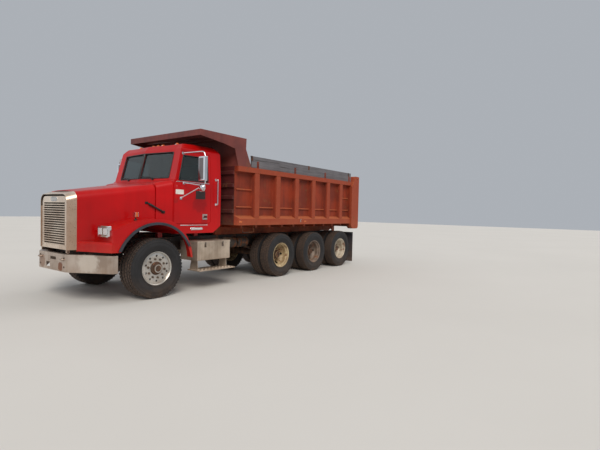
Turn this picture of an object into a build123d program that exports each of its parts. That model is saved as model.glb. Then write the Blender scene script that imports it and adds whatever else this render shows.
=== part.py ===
from build123d import *
import math
import os

# Three-axle-bogie dump truck with a bonneted cab, steered front wheels and a rear-hinged steel bed.
# Millimetres. While a piece is made, x is measured forward from the front axle, y to the truck's
# left and z up from the ground. write() shifts every piece so that x = 0 is mid-length.

# Overall sizes
front_reach = 1300.0            # front axle to the tips of the tow hooks
rear_reach = 7210.0             # front axle to the back of the bed's corner posts
frame_shift = (rear_reach - front_reach) / 2

# Chassis
rail_outer_y = 430.0
rail_bottom_z = 750.0
rail_top_z = 1020.0
rail_flange = 80.0
rail_wall = 10.0
rail_front_x = 1100.0
rail_rear_x = 135 - rear_reach
rear_axle_xs = [-3500.0, -4924.0, -6295.0]

# Wheels
front_tyre_r = 532.0
front_tyre_width = 385.0
front_wheel_y = 997.0           # middle plane of the front tyre
rear_tyre_r = 525.0
rear_tyre_width = 279.0
dual_mate_y = 875.0             # plane where the two rims of a pair are bolted together
dual_spacing = 330.0
rim_flange_r = 298.5
bead_r = 285.75
well_r = 262.0
rim_wall = 9.0
kingpin_y = 900.0
kingpin_r = 22.0
spindle_r = 42.0

# Bonnet, cab and doors
hood_wall = 8.0
hood_nose_x = 1100.0
hood_rear_x = -125.0
hood_hinge_x = 1200.0
hood_hinge_z = 845.0
grille_front_x = 1235.0
fender_y = 1200.0
wing_front_x = 845.0
arch_x = 30.0
arch_z = 560.0
arch_r = 745.0
flare_width = 45.0
flare_proud = 22.0
cab_wall = 40.0
cab_side_y = 1035.0
cab_rear_x = -1590.0
cab_floor_z = 1125.0
cowl_gap = 15.0
belt_z = 2125.0
roof_z = 2875.0
door_front_x = -430.0
door_rear_x = -1320.0
door_bottom_z = 1310.0
door_top_z = 2700.0
door_gap = 6.0
glass = 6.0

# Bed
bed_front_x = -1930.0
bed_end_x = 145 - rear_reach    # rear ends of the side sheets and the floor
bed_bottom_z = 1270.0
bed_floor_z = 1290.0
bed_top_z = 2540.0
bed_inner_y = 1080.0
bed_sheet = 10.0
bed_rail_y = bed_inner_y + 120  # outer face of the top rail and the bottom skirt
rib_xs = [bed_front_x - step for step in (610, 1360, 2110, 2860, 3590, 4290)]
post_front_x = 430 - rear_reach
post_y = bed_inner_y + 160
post_bottom_z = 1110.0
post_top_z = 2720.0
shield_top_z = 3145.0
shield_y = bed_inner_y + 110
board_front_x = bed_front_x - 470
board_rear_x = post_front_x - 70
sill_width = 75.0
sill_bottom_z = rail_top_z + 10
bed_hinge_x = 210 - rear_reach
bed_hinge_z = 960.0
hinge_pin_r = 32.0
tailgate_x = bed_end_x - 10     # front face of the tailgate sheet
tailgate_hinge_x = tailgate_x - 35
tailgate_hinge_z = 2630.0

# Hoist cylinder, as offsets from the bed hinge
hoist_base = (1200.0, -200.0)
hoist_eye = (3350.0, 120.0)
hoist_barrel_r = 85.0
hoist_rod_r = 50.0
hoist_barrel_length = 1450.0

# Driveline
gearbox_x = -980.0              # rear face of the gearbox
gearbox_z = 860.0
bearing_x = -2560.0             # centre bearing of the driveshaft
bearing_z = 800.0
bearing_top_z = 910.0           # where its hanger meets the crossmember
shaft_r = 48.0
yoke_r = 72.0
diff_nose = 390.0
diff_r = 205.0
diff_input_z = 600.0

# Clearances
touch = 0.3                     # between pieces seated on each other's curved or inner faces
running = 0.08                  # radial, of a pin or rod in its bore
moving = 6.0                    # between pieces that move past each other


def block(x0, x1, y0, y1, z0, z1):
    return Pos((x0 + x1) / 2, (y0 + y1) / 2, (z0 + z1) / 2) * Box(abs(x1 - x0), abs(y1 - y0), abs(z1 - z0))


def along_y(points, y0, y1):
    """Closed outline of (x, z) corners, from y0 to y1."""
    return extrude(make_face(Polyline(*[(x, y0, z) for x, z in points], close=True)), y1 - y0, dir=(0, 1, 0))


def along_x(points, x0, x1):
    """Closed outline of (y, z) corners, from x0 to x1."""
    return extrude(make_face(Polyline(*[(x0, y, z) for y, z in points], close=True)), x1 - x0, dir=(1, 0, 0))


def along_z(points, z0, z1):
    """Closed outline of (x, y) corners, from z0 to z1."""
    return extrude(make_face(Polyline(*[(x, y, z0) for x, y in points], close=True)), z1 - z0, dir=(0, 0, 1))


def rounded_along_y(corners, y0, y1):
    """Closed outline of (x, z, radius) corners, from y0 to y1."""
    wire = FilletPolyline(*[(x, y0, z) for x, z, r in corners], radius=[r for x, z, r in corners], close=True)
    return extrude(make_face(wire), y1 - y0, dir=(0, 1, 0))


def rounded_along_x(corners, x0, x1):
    """Closed outline of (y, z, radius) corners, from x0 to x1."""
    wire = FilletPolyline(*[(x0, y, z) for y, z, r in corners], radius=[r for y, z, r in corners], close=True)
    return extrude(make_face(wire), x1 - x0, dir=(1, 0, 0))


def rod(start, end, radius):
    """Round bar between two points."""
    a, b = Vector(*start), Vector(*end)
    from_end = (Align.CENTER, Align.CENTER, Align.MIN)
    return Plane(origin=a, z_dir=b - a) * Cylinder(radius, (b - a).length, align=from_end)


def cross_rod(x, z, y0, y1, radius):
    return rod((x, y0, z), (x, y1, z), radius)


def tube_path(points, bend, radius):
    """Bent round tube through the points."""
    path = FilletPolyline(*points, radius=bend)
    section = Plane(origin=path @ 0, z_dir=path % 0) * Circle(radius)
    return sweep(section, path=path)


def both_sides(piece):
    return [piece, mirror(piece, about=Plane.XZ)]


def fuse(pieces):
    whole = pieces[0]
    for piece in pieces[1:]:
        whole = whole + piece
    return whole


def wheel_form(lines, y, z):
    """Turns a closed (radius, outward offset) outline about the axle of a left wheel."""
    return Pos(0, y, z) * (Rot(-90, 0, 0) * revolve(make_face(lines), axis=Axis.Z))


def outline(points):
    """Closed outline on the plane that holds the z axis, from (radius, offset) corners."""
    return Polyline(*[(r, 0, o) for r, o in points], close=True)


def tyre(y, radius, width, rim_width):
    """Left tyre with arched sidewalls, seated between the rim's flanges and standing on the ground."""
    half = width / 2
    bead = rim_width / 2 - touch
    bore = bead_r + touch
    flange_top = rim_flange_r + 2
    belly_r = flange_top + (radius - flange_top) * 0.5
    shoulder_r = radius - 20
    tread = half - 42
    shoulder = half - 16
    lines = [Polyline((flange_top, 0, -bead), (bore, 0, -bead), (bore, 0, bead), (flange_top, 0, bead)),
             ThreePointArc((flange_top, 0, bead), (belly_r, 0, half), (shoulder_r, 0, shoulder)),
             Polyline((shoulder_r, 0, shoulder), (radius, 0, tread), (radius, 0, -tread),
                      (shoulder_r, 0, -shoulder)),
             ThreePointArc((shoulder_r, 0, -shoulder), (belly_r, 0, -half), (flange_top, 0, -bead))]
    return wheel_form(lines, y, radius)


def hand_holes(count, pitch_r, hole_r, o0, o1, x, y, z):
    """Cutters for the round holes through a left wheel's disc."""
    holes = []
    for k in range(count):
        angle = 2 * math.pi * (k + 0.5) / count
        hx, hz = x + pitch_r * math.cos(angle), z + pitch_r * math.sin(angle)
        holes.append(cross_rod(hx, hz, y + o0, y + o1, hole_r))
    return holes


front_rim_half = 155.5


def front_wheel():
    """Left disc wheel with its hub and a blind bore for the spindle."""
    half = front_rim_half
    lip = half + 8
    inner = bead_r - rim_wall
    hub_r, cap_r = 105, 72
    disc_o, disc = 112, 22
    bore = spindle_r + running
    face = [(0, 196), (cap_r, 196), (cap_r, 150), (hub_r, 146), (hub_r, disc_o + disc),
            (232, disc_o + disc + 10), (inner, disc_o + disc + 2)]
    outside = [(inner, half - 4), (rim_flange_r - 8, lip), (rim_flange_r, lip), (rim_flange_r, half),
               (bead_r, half), (bead_r, 112), (well_r, 84), (well_r, -84), (bead_r, -112), (bead_r, -half),
               (rim_flange_r, -half), (rim_flange_r, -lip), (rim_flange_r - 8, -lip), (inner, 4 - half)]
    inside = [(inner, -114), (well_r - rim_wall, -90), (well_r - rim_wall, 88), (inner, disc_o - 4),
              (hub_r, disc_o - 6), (hub_r, -10), (bore, -10), (bore, 104), (0, 104)]
    wheel = wheel_form(outline(face + outside + inside), front_wheel_y, front_tyre_r)
    for hole in hand_holes(10, 222, 20, disc_o - 30, disc_o + 60, 0, front_wheel_y, front_tyre_r):
        wheel = wheel - hole
    return wheel


rear_rim_half = 104.8
drum_r = 206.0


def rear_wheels():
    """Left pair of dished rims back to back, with their hub and brake drum, as one turned solid."""
    half = rear_rim_half
    mid = dual_spacing / 2
    lip = half + 8
    inner = bead_r - rim_wall
    well = well_r - rim_wall
    bore = spindle_r + running
    rim = [(inner, half - 4), (rim_flange_r - 8, lip), (rim_flange_r, lip), (rim_flange_r, half),
           (bead_r, half), (bead_r, 66), (well_r, 42), (well_r, -52), (bead_r, -78), (bead_r, -half),
           (rim_flange_r, -half), (rim_flange_r, -lip), (rim_flange_r - 8, -lip), (inner, 4 - half),
           (inner, -80), (well, -56), (well, 46), (inner, 68)]
    disc = [(120, 0), (188, 0), (well + 4, mid - 50), (well + 4, mid - 30), (183, 12), (120, 12)]
    hub = [(0, 168), (80, 168), (80, 128), (112, 120), (112, 40), (150, 40), (150, -30), (98, -30), (98, -140),
           (bore, -140), (bore, 60), (0, 60)]
    drum = [(120, -18), (165, -18), (drum_r, -62), (drum_r, -215), (drum_r - 16, -215), (drum_r - 16, -66),
            (160, -34), (120, -34)]
    sections = [[(r, mid + o) for r, o in rim], [(r, -mid - o) for r, o in rim],
                disc, [(r, -o) for r, o in disc], hub, drum]
    wheel = fuse([revolve(make_face(outline(section)), axis=Axis.Z) for section in sections])
    wheel = Pos(0, dual_mate_y, rear_tyre_r) * (Rot(-90, 0, 0) * wheel)
    for hole in hand_holes(5, 216, 30, 10, 110, 0, dual_mate_y, rear_tyre_r):
        wheel = wheel - hole
    return wheel


def rails():
    """Two channels, open towards each other."""
    height = (rail_bottom_z, rail_top_z)
    web = block(rail_rear_x, rail_front_x, rail_outer_y - rail_wall, rail_outer_y, *height)
    inner_y = rail_outer_y - rail_flange
    low = block(rail_rear_x, rail_front_x, inner_y, rail_outer_y, height[0], height[0] + rail_wall)
    high = block(rail_rear_x, rail_front_x, inner_y, rail_outer_y, height[1] - rail_wall, height[1])
    rail = web + low + high
    rail = rail - cross_rod(bed_hinge_x, bed_hinge_z, inner_y - 1, rail_outer_y + 1, hinge_pin_r + touch)
    return both_sides(rail)


def crossmembers():
    """Channels between the webs, the bed's hinge shaft, and the bracket that holds the hoist's foot."""
    web_y = rail_outer_y - rail_wall
    low, high = rail_bottom_z + 25, rail_top_z - 25
    members = []
    rear_x = bed_hinge_x + 300
    for x, floor in [(1010.0, low), (-1250.0, bearing_top_z), (bearing_x, bearing_top_z), (rear_x, low)]:
        web = block(x - 5, x + 5, -web_y, web_y, floor, high)
        members.append(web + block(x - 45, x + 45, -web_y, web_y, floor, floor + 8)
                       + block(x - 45, x + 45, -web_y, web_y, high - 8, high))
    shaft_y = rail_outer_y + 50
    members.append(cross_rod(bed_hinge_x, bed_hinge_z, -shaft_y, shaft_y, hinge_pin_r))
    foot_x, foot_z = bed_hinge_x + hoist_base[0], bed_hinge_z + hoist_base[1]
    beam_x = foot_x - 150
    foot = block(beam_x - 50, beam_x, -web_y, web_y, low, low + 150)
    for ear in both_sides(along_y([(beam_x, low), (foot_x, foot_z - 55), (foot_x + 55, foot_z),
                                   (foot_x, foot_z + 55), (beam_x, low + 150)], 82, 107)):
        foot = foot + ear
    members.append(foot + cross_rod(foot_x, foot_z, -95, 95, 30))
    return members


def front_bumper():
    """Swept channel with returned edges, its tow hooks and the plates that bolt it to the rails."""
    face_x, corner_y, back_x, tip_y = 1250.0, 487.0, 830.0, 1190.0
    low, high, wall, flange = 520.0, 810.0, 8.0, 80.0
    outer = [(face_x, -corner_y), (face_x, corner_y), (back_x, tip_y), (back_x - flange, tip_y - 5),
             (face_x - flange, corner_y - 40), (face_x - flange, 40 - corner_y), (back_x - flange, 5 - tip_y),
             (back_x, -tip_y)]
    past = flange + 60
    inside = [(face_x - wall, 6 - corner_y), (face_x - wall, corner_y - 6), (back_x - wall - 4, tip_y - 10),
              (back_x - past, tip_y - 10), (face_x - past, corner_y - 60), (face_x - past, 60 - corner_y),
              (back_x - past, 10 - tip_y), (back_x - wall - 4, 10 - tip_y)]
    bar = along_z(outer, low, high) - along_z(inside, low + wall, high - wall)
    bar = bar - block(face_x - 20, face_x + 5, -215, -75, 568, 650)
    bar = bar - block(face_x - 20, face_x + 5, -60, 150, 700, 750)
    plate = along_y([(900, 640), (900, 790), (face_x - wall, 790), (face_x - wall, 560)],
                    rail_outer_y, rail_outer_y + 14)
    hook_r = 14
    hook_x = front_reach - hook_r
    hook = tube_path([(face_x - wall, 360, 725), (hook_x, 360, 725), (hook_x, 440, 725),
                      (face_x - wall, 440, 725)], 22, hook_r)
    return fuse([bar] + both_sides(plate) + both_sides(hook))


def radiator():
    core = block(940, 1040, -420, 420, rail_top_z, 1700)
    tank = rounded_along_x([(-420, 1690, 0), (420, 1690, 0), (420, 1740, 30), (-420, 1740, 30)], 930, 1050)
    return core + tank


def engine():
    """Engine and gearbox as one plain block, hung from the rails on four feet."""
    body = block(-60, 820, -280, 280, 800, 1640) + block(gearbox_x, -60, -210, 210, 720, 1080)
    web_y = rail_outer_y - rail_wall
    for x in (560.0, -760.0):
        body = body + block(x - 60, x + 60, -web_y, web_y, 860, 940)
    return body


def drive_shafts():
    """Tube from the gearbox through its centre bearing to the second axle, and a short one on to the third."""
    second_x = rear_axle_xs[1] + diff_nose
    between_x = rear_axle_xs[1] - diff_r - 20
    third_x = rear_axle_xs[2] + diff_nose
    shafts = []
    for ends in [[(gearbox_x, gearbox_z), (bearing_x, bearing_z), (second_x, diff_input_z)],
                 [(between_x, diff_input_z), (third_x, diff_input_z)]]:
        shaft = None
        for (x0, z0), (x1, z1) in zip(ends, ends[1:]):
            way = (Vector(x1, 0, z1) - Vector(x0, 0, z0)).normalized()
            start, end = Vector(x0, 0, z0), Vector(x1, 0, z1)
            span = (end - start).length
            run = rod(at(start, way, -12), at(start, way, span + 12), shaft_r)
            run = run + rod(at(start, way, -12), at(start, way, 70), yoke_r)
            run = run + rod(at(start, way, span - 70), at(start, way, span + 12), yoke_r)
            shaft = run if shaft is None else shaft + run
        trim = block(ends[-1][0] + touch, ends[0][0] - touch, -200, 200, 400, 1000)
        shafts.append(shaft & trim)
    hanger = block(bearing_x - 30, bearing_x + 30, -110, 110, bearing_z, bearing_top_z)
    ring = rod((bearing_x - 30, 0, bearing_z), (bearing_x + 30, 0, bearing_z), 95)
    shafts[0] = shafts[0] + hanger + ring
    return shafts


def front_axle():
    """Dropped beam with kingpins through its raised ends."""
    z = front_tyre_r
    beam = along_x([(-kingpin_y, z - 54), (-830, z - 54), (-700, z - 152), (700, z - 152), (830, z - 54),
                    (kingpin_y, z - 54), (kingpin_y, z + 58), (800, z + 58), (690, z - 52), (-690, z - 52),
                    (-800, z + 58), (-kingpin_y, z + 58)], -45, 45)
    for side in (1, -1):
        beam = beam + rod((0, side * kingpin_y, z - 54), (0, side * kingpin_y, z + 62), 48)
        beam = beam + rod((0, side * kingpin_y, z - 130), (0, side * kingpin_y, z + 132), kingpin_r)
    return beam


def knuckle(side):
    """Fork round the kingpin, with the wheel's spindle."""
    z = front_tyre_r
    y = kingpin_y
    arms = block(-48, 48, y, y + 75, z + 63, z + 128) + block(-48, 48, y, y + 75, z - 126, z - 61)
    arms = arms + rod((0, y, z + 63), (0, y, z + 128), 48) + rod((0, y, z - 126), (0, y, z - 61), 48)
    body = arms + block(-55, 55, y + 55, y + 75, z - 126, z + 128)
    body = body + cross_rod(0, z, y + 74, y + 200, spindle_r)
    body = body - rod((0, y, z - 140), (0, y, z + 140), kingpin_r + running)
    return body if side == 1 else mirror(body, about=Plane.XZ)


clamp_plate = 10.0


def spring_pack(x, y, half, z_mid, z_end, width, thick):
    """Curved leaf pack that sags between its two ends, with the plates that clamp it to its axle."""
    leaf = 14
    step_z = z_mid + (z_end - z_mid) * 0.5 + thick * 0.6
    edges = [ThreePointArc((x - half, 0, z_end), (x, 0, z_mid), (x + half, 0, z_end)),
             Line((x + half, 0, z_end), (x + half, 0, z_end + leaf)),
             Polyline((x + half, 0, z_end + leaf), (x + half * 0.7, 0, step_z),
                      (x + half * 0.2, 0, z_mid + thick), (x - half * 0.2, 0, z_mid + thick),
                      (x - half * 0.7, 0, step_z), (x - half, 0, z_end + leaf)),
             Line((x - half, 0, z_end + leaf), (x - half, 0, z_end))]
    pack = Pos(0, y - width / 2, 0) * extrude(make_face(edges), width, dir=(0, 1, 0))
    low, high = z_mid - clamp_plate, z_mid + thick + clamp_plate
    return pack + block(x - 55, x + 55, y - width / 2, y + width / 2, low, high)


def leaf_springs():
    """Front packs under the rails, one pack beside the rails over each rear axle seat."""
    packs = []
    front_y = rail_outer_y - rail_flange / 2
    seat = front_tyre_r - 52
    for side in (1, -1):
        pack = spring_pack(0, front_y * side, 640, seat + clamp_plate, 700, 76, 60)
        for x in (-640, 640):
            pack = pack + block(x - 25, x + 25, front_y * side - 38, front_y * side + 38, 690, rail_bottom_z)
        packs.append(pack)
        y = (rail_outer_y + 45) * side
        for x in rear_axle_xs:
            pack = spring_pack(x, y, 560, axle_seat_z, 700, 76, 75)
            for end in (-560, 560):
                hanger = block(x + end - 30, x + end + 30, y - 45, y + 38 if side == 1 else y + 45, 690, 900)
                pack = pack + hanger
            packs.append(pack)
    return packs


axle_tube_r = 68.0
axle_seat_z = rear_tyre_r + 90


def rear_axles():
    """Three axles: a plain tube first, then two drive axles with their final-drive housings."""
    axles = []
    z = rear_tyre_r
    tube_y = dual_mate_y - 150
    for k, x in enumerate(rear_axle_xs):
        axle = cross_rod(x, z, -tube_y, tube_y, axle_tube_r)
        axle = axle + cross_rod(x, z, -dual_mate_y - 55, dual_mate_y + 55, spindle_r)
        for side in (1, -1):
            y = (rail_outer_y + 45) * side
            axle = axle + block(x - 60, x + 60, y - 50, y + 50, z - 60, axle_seat_z - clamp_plate)
        if k > 0:
            axle = axle + Pos(x, 0, z) * Sphere(diff_r)
            axle = axle + rod((x + 60, 0, diff_input_z), (x + diff_nose, 0, diff_input_z), 100)
            if k == 1:
                axle = axle + rod((x - 60, 0, diff_input_z), (x - diff_r - 20, 0, diff_input_z), 85)
        axles.append(axle)
    return axles


tank_y = -800.0
tank_z = 760.0
tank_r = 300.0


def fuel_tank():
    """Round tank on the right, in two straps that reach the rail."""
    tank = rod((-1880, tank_y, tank_z), (-900, tank_y, tank_z), tank_r)
    tank = fillet(tank.edges().filter_by(GeomType.CIRCLE), 30)
    for x in (-1220.0, -1550.0):
        tank = tank + rod((x - 30, tank_y, tank_z), (x + 30, tank_y, tank_z), tank_r + 4)
        tank = tank + block(x - 40, x + 40, tank_y, -rail_outer_y, 830, 960)
    return tank


box_front_x = -900.0
box_rear_x = -1760.0
box_bottom_z = 585.0


def battery_box():
    box = block(box_rear_x, box_front_x, 640, 1150, box_bottom_z, 960)
    box = fillet(box.edges().filter_by(Axis.X), 18)
    lid = block(box_rear_x - 6, box_front_x + 6, 634, 1156, 930, 968)
    box = box + lid
    for x in (-1080.0, -1580.0):
        box = box + block(x - 40, x + 40, rail_outer_y, 650, 800, 900)
    return box


def side_steps():
    """Tread boards hung under the battery box on the left and the tank on the right."""
    steps = []
    board = block(-1880, -920, 830, 1198, 378, 400)
    for x in (-960.0, -1720.0):
        bracket = [(860, 400), (1100, 400), (1080, box_bottom_z), (900, box_bottom_z)]
        board = board + along_x(bracket, x - 6, x + 6)
    steps.append(board)
    right = block(-1700, -1050, -1198, -900, 378, 400)
    for x in (-1100.0, -1640.0):
        bracket = along_x([(-1120, 400), (-910, 400), (-910, 560), (-1090, 640)], x - 6, x + 6)
        right = right + (bracket - rod((x - 10, tank_y, tank_z), (x + 10, tank_y, tank_z), tank_r + touch))
    steps.append(right)
    return steps


air_tank_fronts = [-2040.0, -2430.0]
air_tank_length = 350.0
air_tank_r = 118.0
air_tank_y = 640.0
air_tank_z = 860.0


def air_tanks():
    """Two brake air tanks in line beside the left rail, each on two straps."""
    tanks = []
    for front in air_tank_fronts:
        back = front - air_tank_length
        tank = rod((back, air_tank_y, air_tank_z), (front, air_tank_y, air_tank_z), air_tank_r)
        tank = fillet(tank.edges().filter_by(GeomType.CIRCLE), 45)
        for x in (back + 80, front - 80):
            tank = tank + block(x - 25, x + 25, rail_outer_y, air_tank_y, air_tank_z - 40, air_tank_z + 40)
        tanks.append(tank)
    return tanks


def muffler():
    """Silencer on the right rail, with its pipes from the engine and to the rear."""
    can = rod((-2790, -620, 800), (-2080, -620, 800), 130)
    can = fillet(can.edges().filter_by(GeomType.CIRCLE), 35)
    for x in (-2300.0, -2700.0):
        can = can + block(x - 30, x + 30, -620, -rail_outer_y, 770, 830)
    tail = tube_path([(-2780, -620, 800), (-2880, -620, 800), (-2880, -620, 560)], 70, 45)
    return can + tail


flap_x = 40 - rear_reach


def mud_flaps():
    """Rubber sheets behind the last wheels, hung from a bar on the rail ends."""
    sheet = block(flap_x - 8, flap_x, 600, 1085, 60, 985)
    bar = block(flap_x, flap_x + 40, rail_outer_y - rail_flange, 1085, 905, 945)
    arm = block(flap_x + 20, rail_rear_x - touch, rail_outer_y - rail_flange, rail_outer_y, 905, 945)
    return both_sides(sheet + bar + arm)


def cab_side_outline(inset):
    """Side view of the cab without its cowl, as (x, z, radius) corners."""
    i = inset
    return [(cab_rear_x + i, 1260 + i * 0.4, 20), (-1395, cab_floor_z + i, 60), (-470 - i, cab_floor_z + i, 20),
            (-420 - i, 1250, 30), (-420 - i, belt_z, 10), (-452 - i, 2150, 0), (-604 - i, 2745, 60),
            (-690 - i, 2850 - i, 60), (-1000, roof_z - i, 200), (-1480, roof_z - 8 - i, 60),
            (cab_rear_x + i, 2740, 60)]


cab_lean = 42.0                 # how far the side leans in between the belt line and the roof's curve
cab_lean_z = 2760.0


def side_y(z):
    """Outer surface of the cab's side at a height above the belt line."""
    return cab_side_y - cab_lean * (z - belt_z) / (cab_lean_z - belt_z)


def cab_cross_section(inset):
    """Section of the cab with its leaning upper sides, as (y, z, radius) corners of the left half and back."""
    half = cab_side_y - inset
    low = cab_floor_z - 50
    left = [(half, low, 0), (half, belt_z, 200), (half - cab_lean, cab_lean_z, 60),
            (half - 150, roof_z + 2 - inset, 120)]
    return left + [(-y, z, r) for y, z, r in reversed(left)]


def cowl_form(inset):
    """Tapering body between the bonnet and the windscreen."""
    front, back = hood_rear_x - cowl_gap - inset, -560.0
    shapes = []
    for x, half, low, top in [(front, 893 - inset, 1370 + inset, 2062 - inset),
                              (back, 1035 + 33 - inset, 1125 + inset, 2168 - inset)]:
        wire = FilletPolyline((x, -half, low), (x, half, low), (x, half, top), (x, -half, top),
                              radius=[0.5, 0.5, 110 - inset, 110 - inset], close=True)
        shapes.append(make_face(wire))
    form = loft(shapes, ruled=True)
    return form & block(back + 1, front + 1, inset - cab_side_y, cab_side_y - inset, 1000, 2300)


screen_peak = 100.0             # how far the windscreen's middle stands ahead of its corners
screen_corner_y = 830.0
screen_foot = (-452.0, 2150.0)  # side view of the pane's plane at its corners, as (x, z)
screen_head = (-604.0, 2745.0)
header_z = 2838.0


def swept_half(corners, reach):
    """Closed outline of (x, z, radius) corners at mid-width, drawn back as it runs to the left."""
    points = [(x + screen_peak, 0, z) for x, z, r in corners]
    wire = FilletPolyline(*points, radius=[r for x, z, r in corners], close=True)
    way = Vector(-screen_peak / screen_corner_y, 1, 0)
    return extrude(make_face(wire), reach * way.length, dir=(way.X, way.Y, 0))


def screen_form(inset):
    """Front of the cab above the cowl, in two halves that meet in a ridge at mid-width."""
    i = inset
    header_x = screen_head[0] - 76
    half = swept_half([(-1000, belt_z - 100, 0.5), (-420 - i, belt_z - 100, 0.5), (-420 - i, belt_z, 10),
                       (screen_foot[0] - i, screen_foot[1], 0), (screen_head[0] - i, screen_head[1], 60),
                       (header_x - i, header_z - i, 40), (-1000, header_z - i, 0.5)], screen_corner_y + 60)
    return half + mirror(half, about=Plane.XZ)


def cab_form(inset):
    upper = rounded_along_y(cab_side_outline(inset), -cab_side_y - 50, cab_side_y + 50) + screen_form(inset)
    upper = upper & rounded_along_x(cab_cross_section(inset), cab_rear_x - 50, 100)
    return upper + cowl_form(inset)


def windscreen_outline(inset):
    """The left front pane, as (y, z, radius) corners."""
    i = inset
    return [(14 + i, 2175 + i, 20), (830 - i, 2175 + i, 40), (812 - i, 2685 - i, 60), (14 + i, 2685 - i, 20)]


def rear_window_outline(inset):
    i = inset
    return [(i - 420, 2150 + i, 50), (420 - i, 2150 + i, 50), (420 - i, 2560 - i, 50), (i - 420, 2560 - i, 50)]


def door_outline(inset):
    """Side view of the door, as (x, z, radius) corners."""
    i = inset
    return [(door_front_x - i, door_bottom_z + i, 20), (door_front_x - i, 2095, 20), (-497 - i, 2162, 40),
            (-622 - i, door_top_z - i, 40), (door_rear_x + i, door_top_z - i, 90),
            (door_rear_x + i, door_bottom_z + i, 60)]


def door_window_outline(inset):
    i = inset
    return [(-528 - i, 2140 + i, 30), (-652 - i, 2622 - i, 40), (door_rear_x + 75 + i, 2622 - i, 60),
            (door_rear_x + 75 + i, 2140 + i, 40)]


door_pin_x = door_front_x - door_gap / 2
door_pin_y = cab_side_y + 1
door_pin_r = 3.5
door_barrel_r = 7.0
door_hinge_zs = (1480.0, 2020.0)
door_barrel_half = 30.0
door_lug = 20.0


def door_hinge(low, high, radius):
    """Round piece on the door's hinge line, between two heights."""
    return rod((door_pin_x, door_pin_y, low), (door_pin_x, door_pin_y, high), radius)


def side_wall(depth_out, depth_in):
    """Skin of the left side, between two depths below the outer surface."""
    outer = rounded_along_x(cab_cross_section(depth_out), cab_rear_x, -200)
    inner = rounded_along_x(cab_cross_section(depth_in), cab_rear_x - 1, -199)
    return (outer - inner) & block(cab_rear_x, -200, 700, 1200, 1100, 2790)


def cab_shell():
    """Hollow cab with its window and door openings, the fixed half of the door hinges and four feet."""
    shell = cab_form(0) - cab_form(cab_wall)
    for cutter in both_sides(rounded_along_x(windscreen_outline(0), -680, -300)):
        shell = shell - cutter
    shell = shell - rounded_along_x(rear_window_outline(0), cab_rear_x - 20, cab_rear_x + 80)
    doorway = rounded_along_y(door_outline(0), cab_side_y - cab_lean - cab_wall - 10, cab_side_y + 65)
    shell = shell - doorway - mirror(doorway, about=Plane.XZ)
    for z in door_hinge_zs:
        half, end = door_barrel_half + 1, door_barrel_half + 1 + door_lug
        room = door_hinge(z - half, z + half, door_barrel_r + 2)
        lugs = fuse([door_hinge(z - end, z - half, door_barrel_r), door_hinge(z + half, z + end, door_barrel_r),
                     door_hinge(z - end, z + end, door_pin_r)])
        shell = shell - room - mirror(room, about=Plane.XZ) + lugs + mirror(lugs, about=Plane.XZ)
    for x in (-560.0, -1450.0):
        for side in (1, -1):
            y = (rail_outer_y - rail_flange / 2) * side
            shell = shell + block(x - 50, x + 50, y - 35, y + 35, rail_top_z, cab_floor_z + 20)
    return shell


def cab_glass():
    """Two windscreen panes and the rear window."""
    outer = cab_wall / 2
    inner = outer + glass
    (foot_x, foot_z), (head_x, head_z) = screen_foot, screen_head
    slab = swept_half([(foot_x - outer, foot_z, 0), (foot_x - inner, foot_z, 0), (head_x - inner, head_z, 0),
                       (head_x - outer, head_z, 0)], screen_corner_y + 60)
    panes = both_sides(slab & rounded_along_x(windscreen_outline(touch), -700, -300))
    panes.append(rounded_along_x(rear_window_outline(touch), cab_rear_x + 15, cab_rear_x + 15 + glass))
    return panes


def door(side):
    """Door panel as thick as the cab's wall, with its window cut and its pull handle."""
    panel = side_wall(0, cab_wall) & rounded_along_y(door_outline(door_gap), 700, 1200)
    panel = panel - rounded_along_y(door_window_outline(0), 700, 1200)
    handle_x, handle_z = door_rear_x + 150, 1445
    y = cab_side_y
    panel = panel + block(handle_x - 62, handle_x + 62, y - 2, y + 5, handle_z - 55, handle_z + 55)
    panel = panel + block(handle_x - 50, handle_x + 30, y, y + 14, handle_z - 20, handle_z + 25)
    for z in door_hinge_zs:
        half, end = door_barrel_half, door_barrel_half + door_lug + 3
        panel = panel - door_hinge(z - end, z + end, door_barrel_r + 2)
        panel = panel + door_hinge(z - half, z + half, door_barrel_r)
        panel = panel + block(door_pin_x - 12, door_pin_x, y - cab_wall, door_pin_y, z - half, z + half)
        panel = panel - door_hinge(z - half - 1, z + half + 1, door_pin_r + running)
    return panel if side == 1 else mirror(panel, about=Plane.XZ)


def door_glass(side):
    depth = cab_wall / 2
    pane = side_wall(depth, depth + glass) & rounded_along_y(door_window_outline(touch), 700, 1200)
    return pane if side == 1 else mirror(pane, about=Plane.XZ)


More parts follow.
